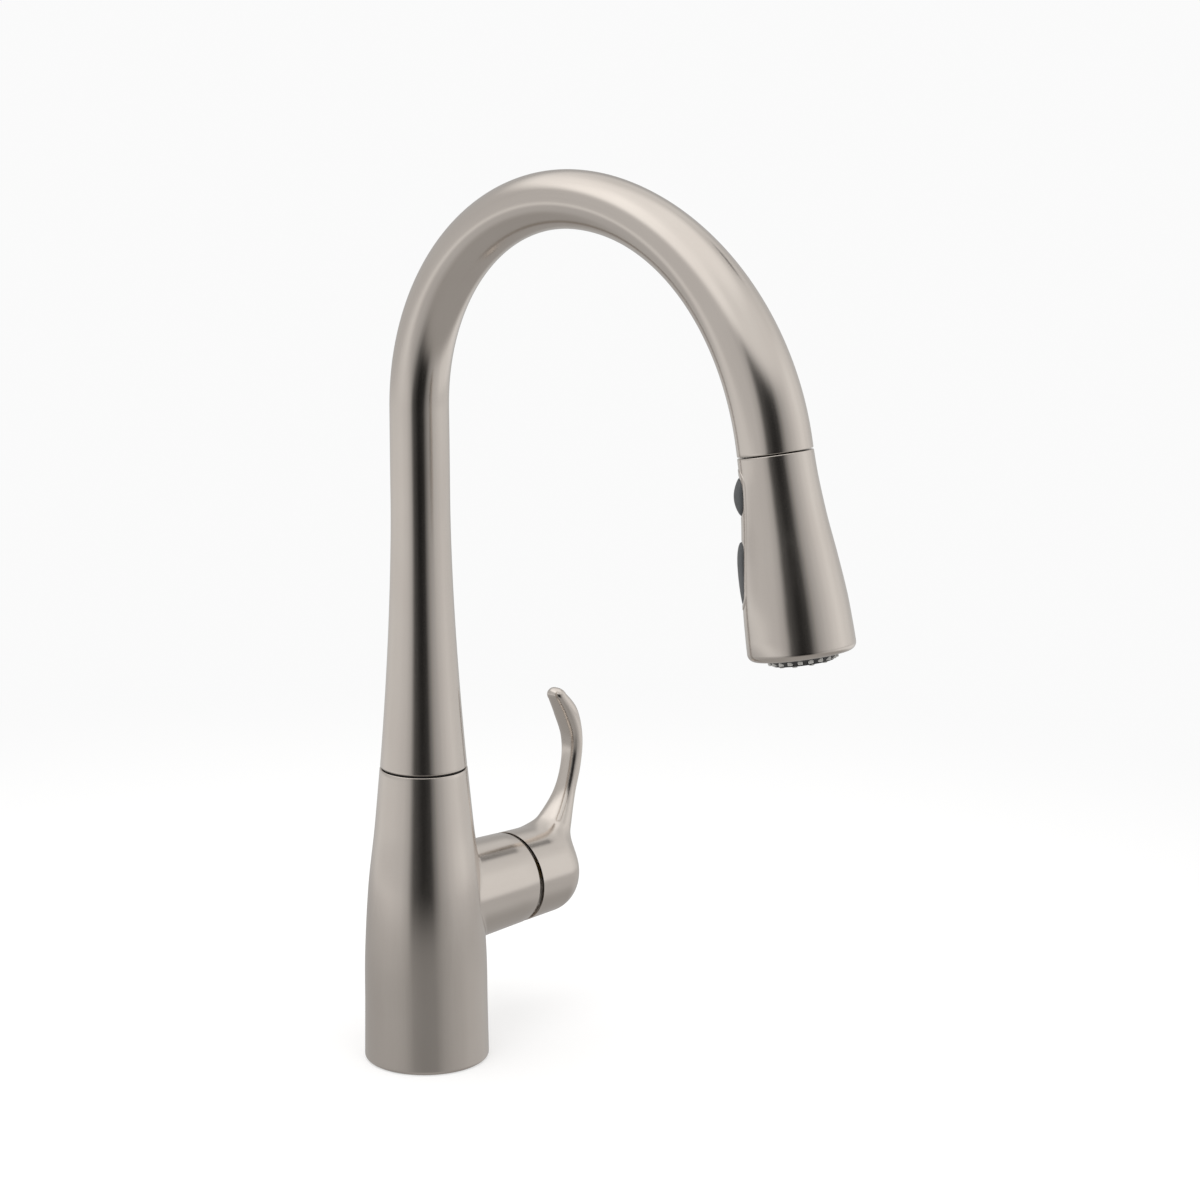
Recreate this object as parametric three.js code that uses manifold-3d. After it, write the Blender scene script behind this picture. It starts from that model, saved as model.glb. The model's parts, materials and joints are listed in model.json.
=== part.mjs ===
// A single-lever pull-down kitchen faucet, in millimetres, +Z up.
// The origin is the centre of the base on the deck. The spout reaches towards -Y, the user's side,
// and the lever is on the +X side.
import * as THREE from 'three';
import { mergeVertices } from 'three/addons/utils/BufferGeometryUtils.js';
import Module from 'manifold-3d';

const wasm = await Module();
wasm.setup();

// ---- Driving dimensions ----
const FIT = 0.3; // gap left between two pieces that touch
const ROUND = 28; // facets around a large piece
const MEDIUM = 16; // facets around a medium piece
const SMALL = 10; // facets around a small piece
const WALL = 1.8; // wall of the spout tube and of the spray head's shell

// Base body
const BODY_TOP = 141;
const BODY_WALL = 3;
const BODY_OUTLINE = [[29.3, 2], [28.9, 25], [28.5, 52], [26.5, 84], [23.2, 112], [20.4, BODY_TOP]];
const FLOOR_LOW = 2;
const FLOOR_HIGH = 9;
const SHELF_LOW = 104;
const SHELF_HIGH = 120;

// Valve stub, whose axis is level and points along +X
const STUB_Z = 75;
const STUB_END = 55;
const STUB_R = 22.1;
const STUB_TAPER = 0.04;
const STUB_BORE = 19.6;
const PIVOT_X = 42; // the lever tilts about a pin here

// Spout: a straight neck, a quarter turn up to the crown, and a wider turn down to the dock
const SPOUT_START = 141.9;
const NECK_TOP = 310;
const RISE_R = 100;
const FALL_R = 114;
const DOCK_TILT = THREE.MathUtils.degToRad(11);
const LAST_STRAIGHT = 3.5; // the spout ends straight, along the spray head's axis
const NECK_R = 13.6;

// Spray head, measured along its own axis from the dock's rim
const HEAD_TOP = 0.5;
const HEAD_END = 84;
const HEAD_OUTLINE = [[15.8, 1.4], [16.2, 12], [17.6, 28], [19.7, 44], [21.6, 61], [22.4, 76]];
const HEAD_ROLL = THREE.MathUtils.degToRad(-42); // how far the buttons are turned from facing the body
const PAD_SPAN = [4.5, 62.5];
const PAD_HALF = 8;

// Pull-down hose, supply tubes and the clamp under the deck
const HOSE_R = 6;
const HOSE_LOW = -70;
const HOSE_STRAIGHT = 28; // the part of the hose inside the spout's end that lies on the head's axis
const TUBE_R = 3.2;
const TUBE_CIRCLE = 10.4;
const TUBE_LOW = -92;
const SHANK_R = 16.5;
const SHANK_BORE = 14;
const SHANK_LOW = -62;
const DECK_THICKNESS = 20;

// ---- Materials ----
function finish(color, roughness, metalness) {
  return new THREE.MeshStandardMaterial({ color, roughness, metalness });
}
const nickel = finish(0xb8b0a8, 0.34, 1);
const steel = finish(0xa9aaac, 0.4, 1);
const brass = finish(0xb8954a, 0.35, 1);
const ceramic = finish(0xe9e6df, 0.5, 0);
const rubber = finish(0x1d1d1e, 0.8, 0);
const darkPlastic = finish(0x2b2c2d, 0.5, 0);
const greyPlastic = finish(0x4b4d4f, 0.55, 0);
const whitePlastic = finish(0xdcdad5, 0.5, 0);
const hoseCover = finish(0x3c3d40, 0.7, 0);
const nozzleRubber = finish(0xb9b7b0, 0.6, 0);
const magnetMetal = finish(0x77787a, 0.3, 1);

// ---- Solids ----
// Turns a closed surface into a solid whose faces point outwards.
function solid(geometry) {
  const bare = new THREE.BufferGeometry();
  bare.setAttribute('position', geometry.getAttribute('position'));
  bare.setIndex(geometry.index);
  const merged = mergeVertices(bare, 1e-4);
  const vertProperties = merged.getAttribute('position').array;
  const corner = (i) => new THREE.Vector3().fromArray(vertProperties, 3 * i);
  const faces = [];
  let volume = 0;
  for (let i = 0; i < merged.index.count; i += 3) {
    const [a, b, c] = merged.index.array.slice(i, i + 3);
    if (a === b || b === c || c === a) continue;
    faces.push([a, b, c]);
    volume += corner(a).dot(corner(b).cross(corner(c)));
  }
  const turned = volume < 0 ? faces.map(([a, b, c]) => [a, c, b]) : faces;
  const triVerts = new Uint32Array(turned.flat());
  return new wasm.Manifold(new wasm.Mesh({ numProp: 3, vertProperties, triVerts }));
}

function geometryOf(piece) {
  const { vertProperties, triVerts } = piece.getMesh();
  const geometry = new THREE.BufferGeometry();
  geometry.setAttribute('position', new THREE.BufferAttribute(vertProperties, 3));
  geometry.setIndex(new THREE.BufferAttribute(triVerts, 1));
  geometry.computeVertexNormals();
  return geometry;
}

// A profile of [radius, height] points turned about +Z.
function turned(profile, facets = MEDIUM) {
  const points = profile.map(([r, z]) => new THREE.Vector2(r, z));
  return solid(new THREE.LatheGeometry(points, facets).rotateX(Math.PI / 2));
}

// The same, turned about the valve stub's axis. Heights are then places along +X.
function turnedOnStub(profile, facets = MEDIUM) {
  const points = profile.map(([r, x]) => new THREE.Vector2(r, x));
  const geometry = new THREE.LatheGeometry(points, facets).rotateX(Math.PI / 2);
  return solid(geometry.rotateY(Math.PI / 2).translate(0, 0, STUB_Z));
}

// A closed rectangle of a profile.
function band(inner, outer, low, high) {
  return [[inner, low], [outer, low], [outer, high], [inner, high], [inner, low]];
}

function ring(inner, outer, low, high, facets = MEDIUM) {
  return turned(band(inner, outer, low, high), facets);
}

function stubRing(inner, outer, low, high, facets = MEDIUM) {
  return turnedOnStub(band(inner, outer, low, high), facets);
}

function disc(radius, low, high, facets = MEDIUM) {
  return turned([[0, low], [radius, low], [radius, high], [0, high]], facets);
}

function stubDisc(radius, low, high, facets = MEDIUM) {
  return turnedOnStub([[0, low], [radius, low], [radius, high], [0, high]], facets);
}

function box(low, high) {
  const size = high.map((value, i) => value - low[i]);
  const middle = high.map((value, i) => (value + low[i]) / 2);
  return solid(new THREE.BoxGeometry(...size).translate(...middle));
}

// A round rod between two points.
function rod(from, to, radius, facets = SMALL) {
  const a = new THREE.Vector3(...from);
  const along = new THREE.Vector3(...to).sub(a);
  const geometry = new THREE.CylinderGeometry(radius, radius, along.length(), facets);
  geometry.translate(0, along.length() / 2, 0);
  const turn = new THREE.Quaternion().setFromUnitVectors(new THREE.Vector3(0, 1, 0), along.normalize());
  geometry.applyQuaternion(turn).translate(a.x, a.y, a.z);
  return solid(geometry);
}

function ellipsoid(centre, semi) {
  return solid(new THREE.SphereGeometry(1, MEDIUM, 8).scale(...semi).translate(...centre));
}

// A torus about +Z, for O-rings.
function oRing(radius, section, height) {
  return solid(new THREE.TorusGeometry(radius, section, 6, MEDIUM).translate(0, 0, height));
}

function circleOutline(radius, sides) {
  return Array.from({ length: sides }, (_, i) => {
    const turn = (2 * Math.PI * i) / sides;
    return new THREE.Vector2(radius * Math.cos(turn), radius * Math.sin(turn));
  });
}

// Sweeps a circle of radius 1, with a hole of radius 0.5 where the piece is hollow, along a path.
// grow(u, offset) then gives each corner its true offset from the path, where u runs from 0 to 1.
function swept(path, steps, sides, hollow, grow) {
  const outline = new THREE.Shape(circleOutline(1, sides));
  if (hollow) outline.holes.push(new THREE.Path(circleOutline(0.5, sides)));
  const options = { steps, extrudePath: path, bevelEnabled: false };
  const geometry = new THREE.ExtrudeGeometry(outline, options);
  const stations = path.getSpacedPoints(steps);
  const corners = geometry.getAttribute('position');
  const corner = new THREE.Vector3();
  for (let i = 0; i < corners.count; i += 1) {
    corner.fromBufferAttribute(corners, i);
    const gaps = stations.map((station) => station.distanceTo(corner));
    const nearest = gaps.indexOf(Math.min(...gaps));
    const offset = corner.clone().sub(stations[nearest]);
    corner.copy(stations[nearest]).add(grow(nearest / steps, offset));
    corners.setXYZ(i, corner.x, corner.y, corner.z);
  }
  return solid(geometry);
}

// ---- Shapes that several pieces share ----
function smooth(value, low, high) {
  return THREE.MathUtils.smoothstep(value, low, high);
}

// The radius of a smooth outline at a height.
function outlineRadius(outline, height) {
  const points = new THREE.SplineCurve(outline.map(([r, z]) => new THREE.Vector2(r, z))).getPoints(60);
  const upper = points.findIndex((point) => point.y >= height);
  if (upper <= 0) return upper === 0 ? points[0].x : points.at(-1).x;
  const [a, b] = [points[upper - 1], points[upper]];
  return THREE.MathUtils.mapLinear(height, a.y, b.y, a.x, b.x);
}

function outlineStretch(outline, from, to, steps, shrink = 0) {
  return Array.from({ length: steps + 1 }, (_, i) => {
    const height = from + ((to - from) * i) / steps;
    return [outlineRadius(outline, height) - shrink, height];
  });
}

// The spout's centre line, with the distance along it measured from the bottom of the neck.
const NECK_LENGTH = NECK_TOP - SPOUT_START;
const RISE_LENGTH = (RISE_R * Math.PI) / 2;
const FALL_LENGTH = FALL_R * (Math.PI / 2 - DOCK_TILT);
const BENT_LENGTH = NECK_LENGTH + RISE_LENGTH + FALL_LENGTH;
const SPOUT_LENGTH = BENT_LENGTH + LAST_STRAIGHT;

function spoutPoint(distance) {
  if (distance < NECK_LENGTH) return new THREE.Vector3(0, 0, SPOUT_START + distance);
  const rise = Math.min(distance - NECK_LENGTH, RISE_LENGTH) / RISE_R;
  const fall = Math.max(Math.min(distance, BENT_LENGTH) - NECK_LENGTH - RISE_LENGTH, 0) / FALL_R;
  const straight = Math.max(distance - BENT_LENGTH, 0);
  const reach = RISE_R * (1 - Math.cos(rise)) + FALL_R * Math.sin(fall) + straight * Math.sin(DOCK_TILT);
  const drop = FALL_R * (1 - Math.cos(fall)) + straight * Math.cos(DOCK_TILT);
  return new THREE.Vector3(0, -reach, NECK_TOP + RISE_R * Math.sin(rise) - drop);
}

// The spout tube is widest at the body, slimmest over the top, and flares to meet the spray head.
function spoutRadius(distance) {
  const foot = 6.6 * Math.max(0, 1 - distance / 125) ** 1.7;
  const slimming = 0.95 * smooth(distance, 130, 325);
  const flare = 3.1 * smooth(distance, 350, 490);
  return NECK_R + foot - slimming + flare;
}

class SpoutPath extends THREE.Curve {
  constructor(length) {
    super();
    this.length = length;
  }

  getPoint(t) {
    return spoutPoint(t * this.length);
  }
}

const dock = spoutPoint(SPOUT_LENGTH);
const headAxis = new THREE.Vector3(0, -Math.sin(DOCK_TILT), -Math.cos(DOCK_TILT));

// The hose follows the spout, then eases on to the spray head's axis.
class HosePath extends THREE.Curve {
  constructor() {
    super();
    const leave = SPOUT_LENGTH - 95;
    const start = spoutPoint(leave);
    const heading = spoutPoint(leave + 1).sub(start).normalize();
    const end = dock.clone().addScaledVector(headAxis, -HOSE_STRAIGHT - FIT);
    const first = start.clone().addScaledVector(heading, 22);
    const last = end.clone().addScaledVector(headAxis, -22);
    this.easing = new THREE.CubicBezierCurve3(start, first, last, end);
    this.leave = leave;
    this.whole = leave + this.easing.getLength();
  }

  getPoint(t) {
    const distance = t * this.whole;
    if (distance < this.leave) return spoutPoint(distance);
    return this.easing.getPointAt((distance - this.leave) / (this.whole - this.leave));
  }
}

// ---- The assembly and its nested frames ----
const faucet = new THREE.Group();
// The head's frame: +Z runs down the head's axis from the dock's rim, and -Y faces the body.
const headFrame = new THREE.Group();
headFrame.position.copy(dock);
headFrame.rotation.x = Math.PI - DOCK_TILT;
faucet.add(headFrame);
// The same, rolled so that -Y faces the way the buttons do.
const buttonFrame = new THREE.Group();
buttonFrame.rotation.z = HEAD_ROLL;
headFrame.add(buttonFrame);

function add(name, material, piece, frame = faucet) {
  const mesh = new THREE.Mesh(geometryOf(piece), material);
  mesh.name = name;
  frame.add(mesh);
}

// ---- Base and deck clamp ----
function baseBody() {
  const outer = [[0, 0], [27.6, 0], [28.9, 0.9], ...outlineStretch(BODY_OUTLINE, 2.4, BODY_TOP - 0.4, 11)];
  outer.push([outlineRadius(BODY_OUTLINE, BODY_TOP) - 0.4, BODY_TOP], [0, BODY_TOP]);
  const cavity = [[0, FLOOR_HIGH], ...outlineStretch(BODY_OUTLINE, FLOOR_HIGH, SHELF_LOW, 5, BODY_WALL)];
  cavity.push([0, SHELF_LOW]);
  const root = STUB_R + STUB_TAPER * (STUB_END - 10);
  const stub = [[0, 10], [root, 10], [STUB_R, STUB_END - 0.5], [STUB_R - 0.5, STUB_END], [0, STUB_END]];
  return turned(outer, ROUND)
    .add(turnedOnStub(stub, ROUND))
    .subtract(turned(cavity, ROUND))
    .subtract(stubDisc(STUB_BORE, 8, STUB_END + 1, ROUND))
    .subtract(disc(SHANK_R + FIT, -1, FLOOR_HIGH + 1, ROUND))
    .subtract(disc(25, -1, FLOOR_LOW, ROUND))
    .subtract(disc(12.3, SHELF_LOW - 1, SHELF_HIGH + 1))
    .subtract(disc(16.6, SHELF_HIGH, BODY_TOP + 1));
}

function mountingNut() {
  const low = -DECK_THICKNESS - 17.5;
  const high = -DECK_THICKNESS - 5.8;
  const collar = disc(19.2, low, high, ROUND).add(disc(27, high - 6, high, ROUND));
  const bored = collar.subtract(disc(SHANK_R + FIT, low - 1, high + 1, ROUND));
  return screwPlaces().reduce(
    (nut, [x, y]) => nut.subtract(rod([x, y, low - 1], [x, y, high + 1], 2.5 + FIT)),
    bored,
  );
}

function screwPlaces() {
  return [90, 210, 330].map((degrees) => {
    const turn = THREE.MathUtils.degToRad(degrees);
    return [23.4 * Math.cos(turn), 23.4 * Math.sin(turn)];
  });
}

function clampScrew([x, y]) {
  const tip = -DECK_THICKNESS - 5.5 - FIT;
  const seat = -DECK_THICKNESS - 12.1;
  const shaft = rod([x, y, seat - 2], [x, y, tip], 2.4);
  const head = rod([x, y, seat - 4], [x, y, seat], 3.9);
  const slot = box([x - 5, y - 0.5, seat - 5], [x + 5, y + 0.5, seat - 2.8]);
  return shaft.add(head).subtract(slot);
}

add('base_body', nickel, baseBody());
add('base_gasket', rubber, ring(SHANK_R + 1, 25 - FIT, 0, FLOOR_LOW - FIT, ROUND));
add('mounting_shank', brass, ring(SHANK_BORE, SHANK_R, SHANK_LOW, FLOOR_HIGH - 0.5, ROUND));
add('deck_washer', rubber, ring(SHANK_R + 0.6, 28, -DECK_THICKNESS - 3, -DECK_THICKNESS, ROUND));
add('clamp_washer', steel, ring(SHANK_R + 0.6, 28, -DECK_THICKNESS - 5.5, -DECK_THICKNESS - 3 - FIT, ROUND));
add('mounting_nut', brass, mountingNut());
screwPlaces().forEach((place, i) => add(`clamp_screw_${i + 1}`, steel, clampScrew(place)));

// ---- Supply tubes and their couplings ----
const TUBES = { hot: 60, cold: -60, outlet: 0 };
const TUBE_TOP = 43.7;

function tubePlace(degrees) {
  const turn = THREE.MathUtils.degToRad(degrees);
  return [TUBE_CIRCLE * Math.cos(turn), TUBE_CIRCLE * Math.sin(turn)];
}

function supplyTube([x, y]) {
  const outside = rod([x, y, TUBE_LOW], [x, y, TUBE_TOP], TUBE_R);
  return outside.subtract(rod([x, y, TUBE_LOW - 1], [x, y, TUBE_TOP + 1], TUBE_R - 1));
}

function tubeCoupling([x, y]) {
  const low = TUBE_LOW - 12;
  const barrel = rod([x, y, low], [x, y, TUBE_LOW - FIT], 4.4, 6);
  return barrel.subtract(rod([x, y, low - 1], [x, y, TUBE_LOW], 2.4));
}

Object.entries(TUBES).forEach(([name, degrees]) => {
  const place = tubePlace(degrees);
  add(name === 'outlet' ? 'outlet_tube' : `${name}_inlet_tube`, whitePlastic, supplyTube(place));
  add(`${name}_coupling`, brass, tubeCoupling(place));
});

// ---- Valve: fixed pieces ----
function valveBody() {
  const cup = stubRing(17.4, 19.2, 13, 38, ROUND).add(stubDisc(19.2, 9.5, 14, ROUND));
  const boss = box([1.5, -13, TUBE_TOP + FIT], [16, 13, STUB_Z - 15]);
  const ports = Object.values(TUBES).map((degrees) => {
    const [x, y] = tubePlace(degrees);
    return rod([x, y, TUBE_TOP], [x, y, TUBE_TOP + 5], TUBE_R - 1, 8);
  });
  const whole = cup.add(boss).subtract(rod([0, 0, 0], [0, 0, BODY_TOP], HOSE_R + 0.9, MEDIUM));
  const bored = whole.subtract(stubDisc(17.4, 14, 39, ROUND));
  return ports.reduce((body, port) => body.subtract(port), bored);
}

function fixedDisc() {
  const portOf = (y, z) => rod([18, y, STUB_Z + z], [23, y, STUB_Z + z], 2.6, 8);
  return stubDisc(14.8, 18.9, 21.9)
    .subtract(portOf(6, -6))
    .subtract(portOf(-6, -6))
    .subtract(portOf(0, 6.5));
}

function bonnetDome() {
  const outer = 19;
  const inner = 17.5;
  const mouth = 11;
  const arc = (radius, from, to) => {
    const angles = Array.from({ length: 5 }, (_, i) => from + ((to - from) * i) / 4);
    return angles.map((angle) => [radius * Math.cos(angle), PIVOT_X + radius * Math.sin(angle)]);
  };
  const rise = (radius) => Math.asin(1.5 / radius);
  const tip = (radius) => Math.acos(mouth / radius);
  const outside = arc(outer, rise(outer), tip(outer));
  const inside = arc(inner, tip(inner), rise(inner));
  return turnedOnStub([...outside, ...inside, outside[0]]);
}

add('valve_body', brass, valveBody());
add('disc_seal', rubber, stubRing(4, 17, 14.3, 15.8));
const housing = [[3.2, 16.1], [17.1, 16.1], [17.1, 38], [15.1, 38], [15.1, 18.6], [3.2, 18.6], [3.2, 16.1]];
add('cartridge_housing', whitePlastic, turnedOnStub(housing));
add('fixed_disc', ceramic, fixedDisc());
add('cartridge_nut', brass, stubRing(11.2, 19.2, 38.3, 43, ROUND));
add('bonnet_dome', darkPlastic, bonnetDome());

// ---- Valve: moving pieces ----
const BALL_X = 33;
const BALL_R = 2.6;
const STEM_R = 3.6;
const STEM_END = 77;

function cartridgeRotor() {
  const outside = [[0, 25.3], [14.7, 25.3], [14.7, 31], [10.5, 31], [10.5, 46.5], [0, 46.5]];
  return turnedOnStub(outside)
    .subtract(stubDisc(8, 24, 36))
    .subtract(box([35, -3.9, STUB_Z - 7.2], [48, 3.9, STUB_Z + 7.2]))
    .subtract(rod([PIVOT_X, -12, STUB_Z], [PIVOT_X, 12, STUB_Z], 1.5 + FIT));
}

function movingDisc() {
  const outside = [[0, 22.2], [10.5, 22.2], [10.5, 25], [4.5, 25], [4.5, 35], [0, 35]];
  const channel = box([21, -4, STUB_Z - 4], [23.4, 4, STUB_Z + 7]);
  return turnedOnStub(outside).subtract(stubDisc(3.4, 29, 36)).subtract(channel);
}

function cartridgeSpindle() {
  const ball = ellipsoid([BALL_X, 0, STUB_Z], [BALL_R, BALL_R, BALL_R]);
  const waist = stubDisc(2.1, BALL_X, 38, SMALL);
  const stem = stubDisc(STEM_R, 37, STEM_END, SMALL);
  const pin = rod([PIVOT_X, -12, STUB_Z], [PIVOT_X, 12, STUB_Z], 1.5 + FIT);
  return ball.add(waist).add(stem).subtract(pin);
}

add('cartridge_rotor', whitePlastic, cartridgeRotor());
add('pivot_pin', steel, rod([PIVOT_X, -9.9, STUB_Z], [PIVOT_X, 9.9, STUB_Z], 1.5));
add('moving_disc', ceramic, movingDisc());
add('cartridge_spindle', brass, cartridgeSpindle());

// ---- Lever handle ----
const CAP_RIM_TOP = 56.1;
const CAP_RIM_LOW = 58.1;
const CAP_END = 89.5;
const CAP_ROUNDING = 13;
const SCREW_X = 71;
// The lever's centre line in the XZ plane, from inside the cap to the curled tip.
const LEVER_LINE = [
  [76.5, 82],
  [86, 96],
  [93.2, 109.8],
  [97.8, 124],
  [98.4, 137.2],
  [94.4, 150],
  [88, 159.5],
];
// Half widths along Y and half thicknesses across the line, at even steps along it.
const LEVER_HALF_WIDTHS = [13, 9.6, 6.2, 5.2, 5.9, 6.4, 5.2];
const LEVER_HALF_DEPTHS = [12, 7.2, 4.5, 3.9, 3.9, 4.5, 3.3];

function evenly(values, u) {
  const place = Math.min(u, 0.999999) * (values.length - 1);
  const index = Math.floor(place);
  return THREE.MathUtils.lerp(values[index], values[index + 1], place - index);
}

function leverBlade() {
  const path = new THREE.CatmullRomCurve3(LEVER_LINE.map(([x, z]) => new THREE.Vector3(x, 0, z)));
  const blade = swept(path, 13, 12, false, (u, offset) => {
    const across = offset.y * evenly(LEVER_HALF_WIDTHS, u);
    const deep = evenly(LEVER_HALF_DEPTHS, u);
    return new THREE.Vector3(offset.x * deep, across, offset.z * deep);
  });
  const [tipX, tipZ] = LEVER_LINE.at(-1);
  return blade.add(ellipsoid([tipX, 0, tipZ], [3.3, 5, 3.3]));
}

function leverHandle() {
  const nose = Array.from({ length: 7 }, (_, i) => {
    const turn = (Math.PI / 2) * (i / 6);
    const r = 21.2 - CAP_ROUNDING + CAP_ROUNDING * Math.cos(turn);
    return [r, CAP_END - CAP_ROUNDING + CAP_ROUNDING * Math.sin(turn)];
  });
  const cap = turnedOnStub([[0, STUB_END], [STUB_R - 0.1, STUB_END], ...nose, [0, CAP_END]], ROUND);
  const hollow = [[0, 50], [21.1, 50], [21.1, 58.5], [17.5, 64], [0, 64]];
  const slant = Math.atan((CAP_RIM_LOW - CAP_RIM_TOP) / (2 * STUB_R));
  const trim = new THREE.BoxGeometry(60, 80, 120).translate(-30, 0, 0).rotateY(-slant);
  const middle = (CAP_RIM_LOW + CAP_RIM_TOP) / 2;
  return cap
    .add(leverBlade())
    .subtract(turnedOnStub(hollow, ROUND))
    .subtract(solid(trim.translate(middle, 0, STUB_Z)))
    .subtract(stubDisc(STEM_R + FIT, 60, STEM_END + 1))
    .subtract(rod([SCREW_X, 0, STUB_Z], [SCREW_X, 0, STUB_Z - 30], 2.5 + FIT));
}

add('lever_handle', nickel, leverHandle());
add('set_screw', steel, rod([SCREW_X, 0, STUB_Z - 12], [SCREW_X, 0, STUB_Z - STEM_R - FIT], 2.5));
add('set_screw_plug', nickel, rod([SCREW_X, 0, STUB_Z - 20.8], [SCREW_X, 0, STUB_Z - 18.4], 2.5));

// ---- Spout bearing on the base ----
const POST_TOP = 190;
const POST_R = 13;
const GROOVES = [150, 172];

function swivelPost() {
  const foot = [[8.6, SHELF_LOW - 1], [12, SHELF_LOW - 1], [12, SHELF_HIGH + FIT]];
  const flange = [[16.2, SHELF_HIGH + FIT], [16.2, 126], [POST_R, 126], [POST_R, POST_TOP], [8.6, POST_TOP]];
  const cuts = [...GROOVES.map((z) => ring(11.6, 15, z - 1.5, z + 1.5)), ring(12, 15, 184, 186)];
  const post = turned([...foot, ...flange, foot[0]]);
  return cuts.reduce((part, cut) => part.subtract(cut), post);
}

add('swivel_post', brass, swivelPost());
add('lower_bearing_ring', whitePlastic, ring(POST_R + FIT, 16.2, 126.3, 140.8));
GROOVES.forEach((z, i) => add(`post_o_ring_${i + 1}`, rubber, oRing(12.4, 0.6, z)));
add('retaining_clip', steel, ring(12.2, 14, 184.3, 185.7));

// ---- Spout ----
function spoutTube() {
  return swept(new SpoutPath(SPOUT_LENGTH), 32, 18, true, (u, offset) => {
    const outer = spoutRadius(u * SPOUT_LENGTH);
    return offset.length() > 0.75 ? offset.setLength(outer) : offset.setLength(outer - WALL);
  });
}

function spoutBushing() {
  const low = SPOUT_START + 0.4;
  const high = 182;
  const inside = (z) => spoutRadius(z - SPOUT_START) - WALL - 0.5;
  const side = Array.from({ length: 5 }, (_, i) => low + ((high - low) * i) / 4);
  const outline = side.map((z) => [inside(z), z]);
  return turned([[POST_R + FIT, low], ...outline, [POST_R + FIT, high], [POST_R + FIT, low]]);
}

add('spout_tube', nickel, spoutTube());
add('spout_bushing', whitePlastic, spoutBushing());
add('upper_bearing_ring', whitePlastic, ring(POST_R + FIT, 14.3, 182.3, 184));
add('seam_glide_ring', darkPlastic, ring(17, 19.6, BODY_TOP + 0.25, SPOUT_START - 0.25, ROUND));
const collar = [[9.6, -15], [11.2, -15], [11.2, -1.8], [13.1, -1.8], [13.1, -0.2], [9.6, -0.2], [9.6, -15]];
add('docking_collar', darkPlastic, turned(collar), headFrame);
add('dock_magnet', magnetMetal, ring(11.5, 13, -6, -2.1), headFrame);

// ---- Hose ----
const hosePath = new HosePath();
add('hose_in_spout', hoseCover, swept(hosePath, 20, 8, false, (u, offset) => offset.setLength(HOSE_R)));
add('hose_in_body', hoseCover, rod([0, 0, HOSE_LOW], [0, 0, SPOUT_START - FIT], HOSE_R, 10));
add('hose_lead', hoseCover, disc(HOSE_R, -HOSE_STRAIGHT, -16 - FIT, 10), headFrame);
const hoseNut = [[0, HOSE_LOW - 18], [6.2, HOSE_LOW - 18], [6.2, HOSE_LOW - 9], [6.8, HOSE_LOW - 9]];
hoseNut.push([6.8, HOSE_LOW - FIT], [0, HOSE_LOW - FIT]);
const hoseBore = disc(3, HOSE_LOW - 19, HOSE_LOW - 4, SMALL);
add('hose_coupling', brass, turned(hoseNut, SMALL).subtract(hoseBore));

const connectorGroove = [[7.2, 5], [6.4, 5], [6.4, 7.4], [7.2, 7.4]];
const connector = [[3, -16], [7.2, -16], ...connectorGroove, [7.2, 12], [3, 12], [3, -16]];
add('hose_connector', brass, turned(connector), headFrame);
add('connector_o_ring', rubber, oRing(7.05, 0.45, 6.2), headFrame);

// ---- Spray head: shell and waterway ----
const LIP_ROUNDING = 3.2;
const LIP_R = 19.3;

function headShell() {
  const fillet = Array.from({ length: 4 }, (_, i) => {
    const turn = (Math.PI / 2) * (i / 3);
    return [LIP_R + LIP_ROUNDING * Math.cos(turn), HEAD_END - LIP_ROUNDING * (1 - Math.sin(turn))];
  });
  const outside = [[9.3, HEAD_TOP], [15.3, HEAD_TOP], ...outlineStretch(HEAD_OUTLINE, 1.4, 76, 6), ...fillet];
  const inside = outlineStretch(HEAD_OUTLINE, 74, 2.6, 5, WALL);
  const shell = turned([...outside, [17.6, HEAD_END], ...inside, [9.3, 2.6], [9.3, HEAD_TOP]], ROUND);
  return shell.subtract(stadium(PAD_HALF + FIT, PAD_SPAN[0] - FIT, PAD_SPAN[1] + FIT));
}

// A prism with round ends, as long as span along the head's axis, that runs out from the head along -Y.
function stadium(half, low, high) {
  const outline = new THREE.Shape();
  outline.absarc(0, low + half, half, Math.PI, 2 * Math.PI);
  outline.absarc(0, high - half, half, 0, Math.PI);
  const prism = new THREE.ExtrudeGeometry(outline, { depth: 40, bevelEnabled: false, curveSegments: 6 });
  return solid(prism.rotateX(Math.PI / 2));
}

add('head_shell', nickel, headShell(), buttonFrame);
const spigot = [[7.7, -14], [9, -14], [9, 2.9], [13, 2.9], [13, 3.9], [7.7, 3.9], [7.7, -14]];
add('head_dock_ring', darkPlastic, turned(spigot), headFrame);
add('head_magnet', magnetMetal, ring(7.9, 13, 4.2, 6), headFrame);
const waterway = [[6.9, 12.5], [10, 12.5], [10, 62], [19.2, 66], [19.2, 70], [6.9, 70], [6.9, 12.5]];
add('head_waterway', darkPlastic, turned(waterway), headFrame);
add('check_valve', whitePlastic, ring(2, 6.6, 13, 19, SMALL), headFrame);
const spool = [[0, 40], [6.5, 40], [6.5, 43], [4, 43], [4, 49], [6.5, 49], [6.5, 52], [0, 52]];
add('diverter_valve', whitePlastic, turned(spool, SMALL), headFrame);

// ---- Spray face ----
const NOZZLE_ROWS = [
  { radius: 10.1, count: 9, tip: 87.6 },
  { radius: 13.6, count: 20, tip: 86.3 },
];
const NOZZLE_R = 1.1;

function nozzlePlaces() {
  return NOZZLE_ROWS.flatMap(({ radius, count, tip }) =>
    circleOutline(radius, count).map((place) => [place.x, place.y, tip]),
  );
}

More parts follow.
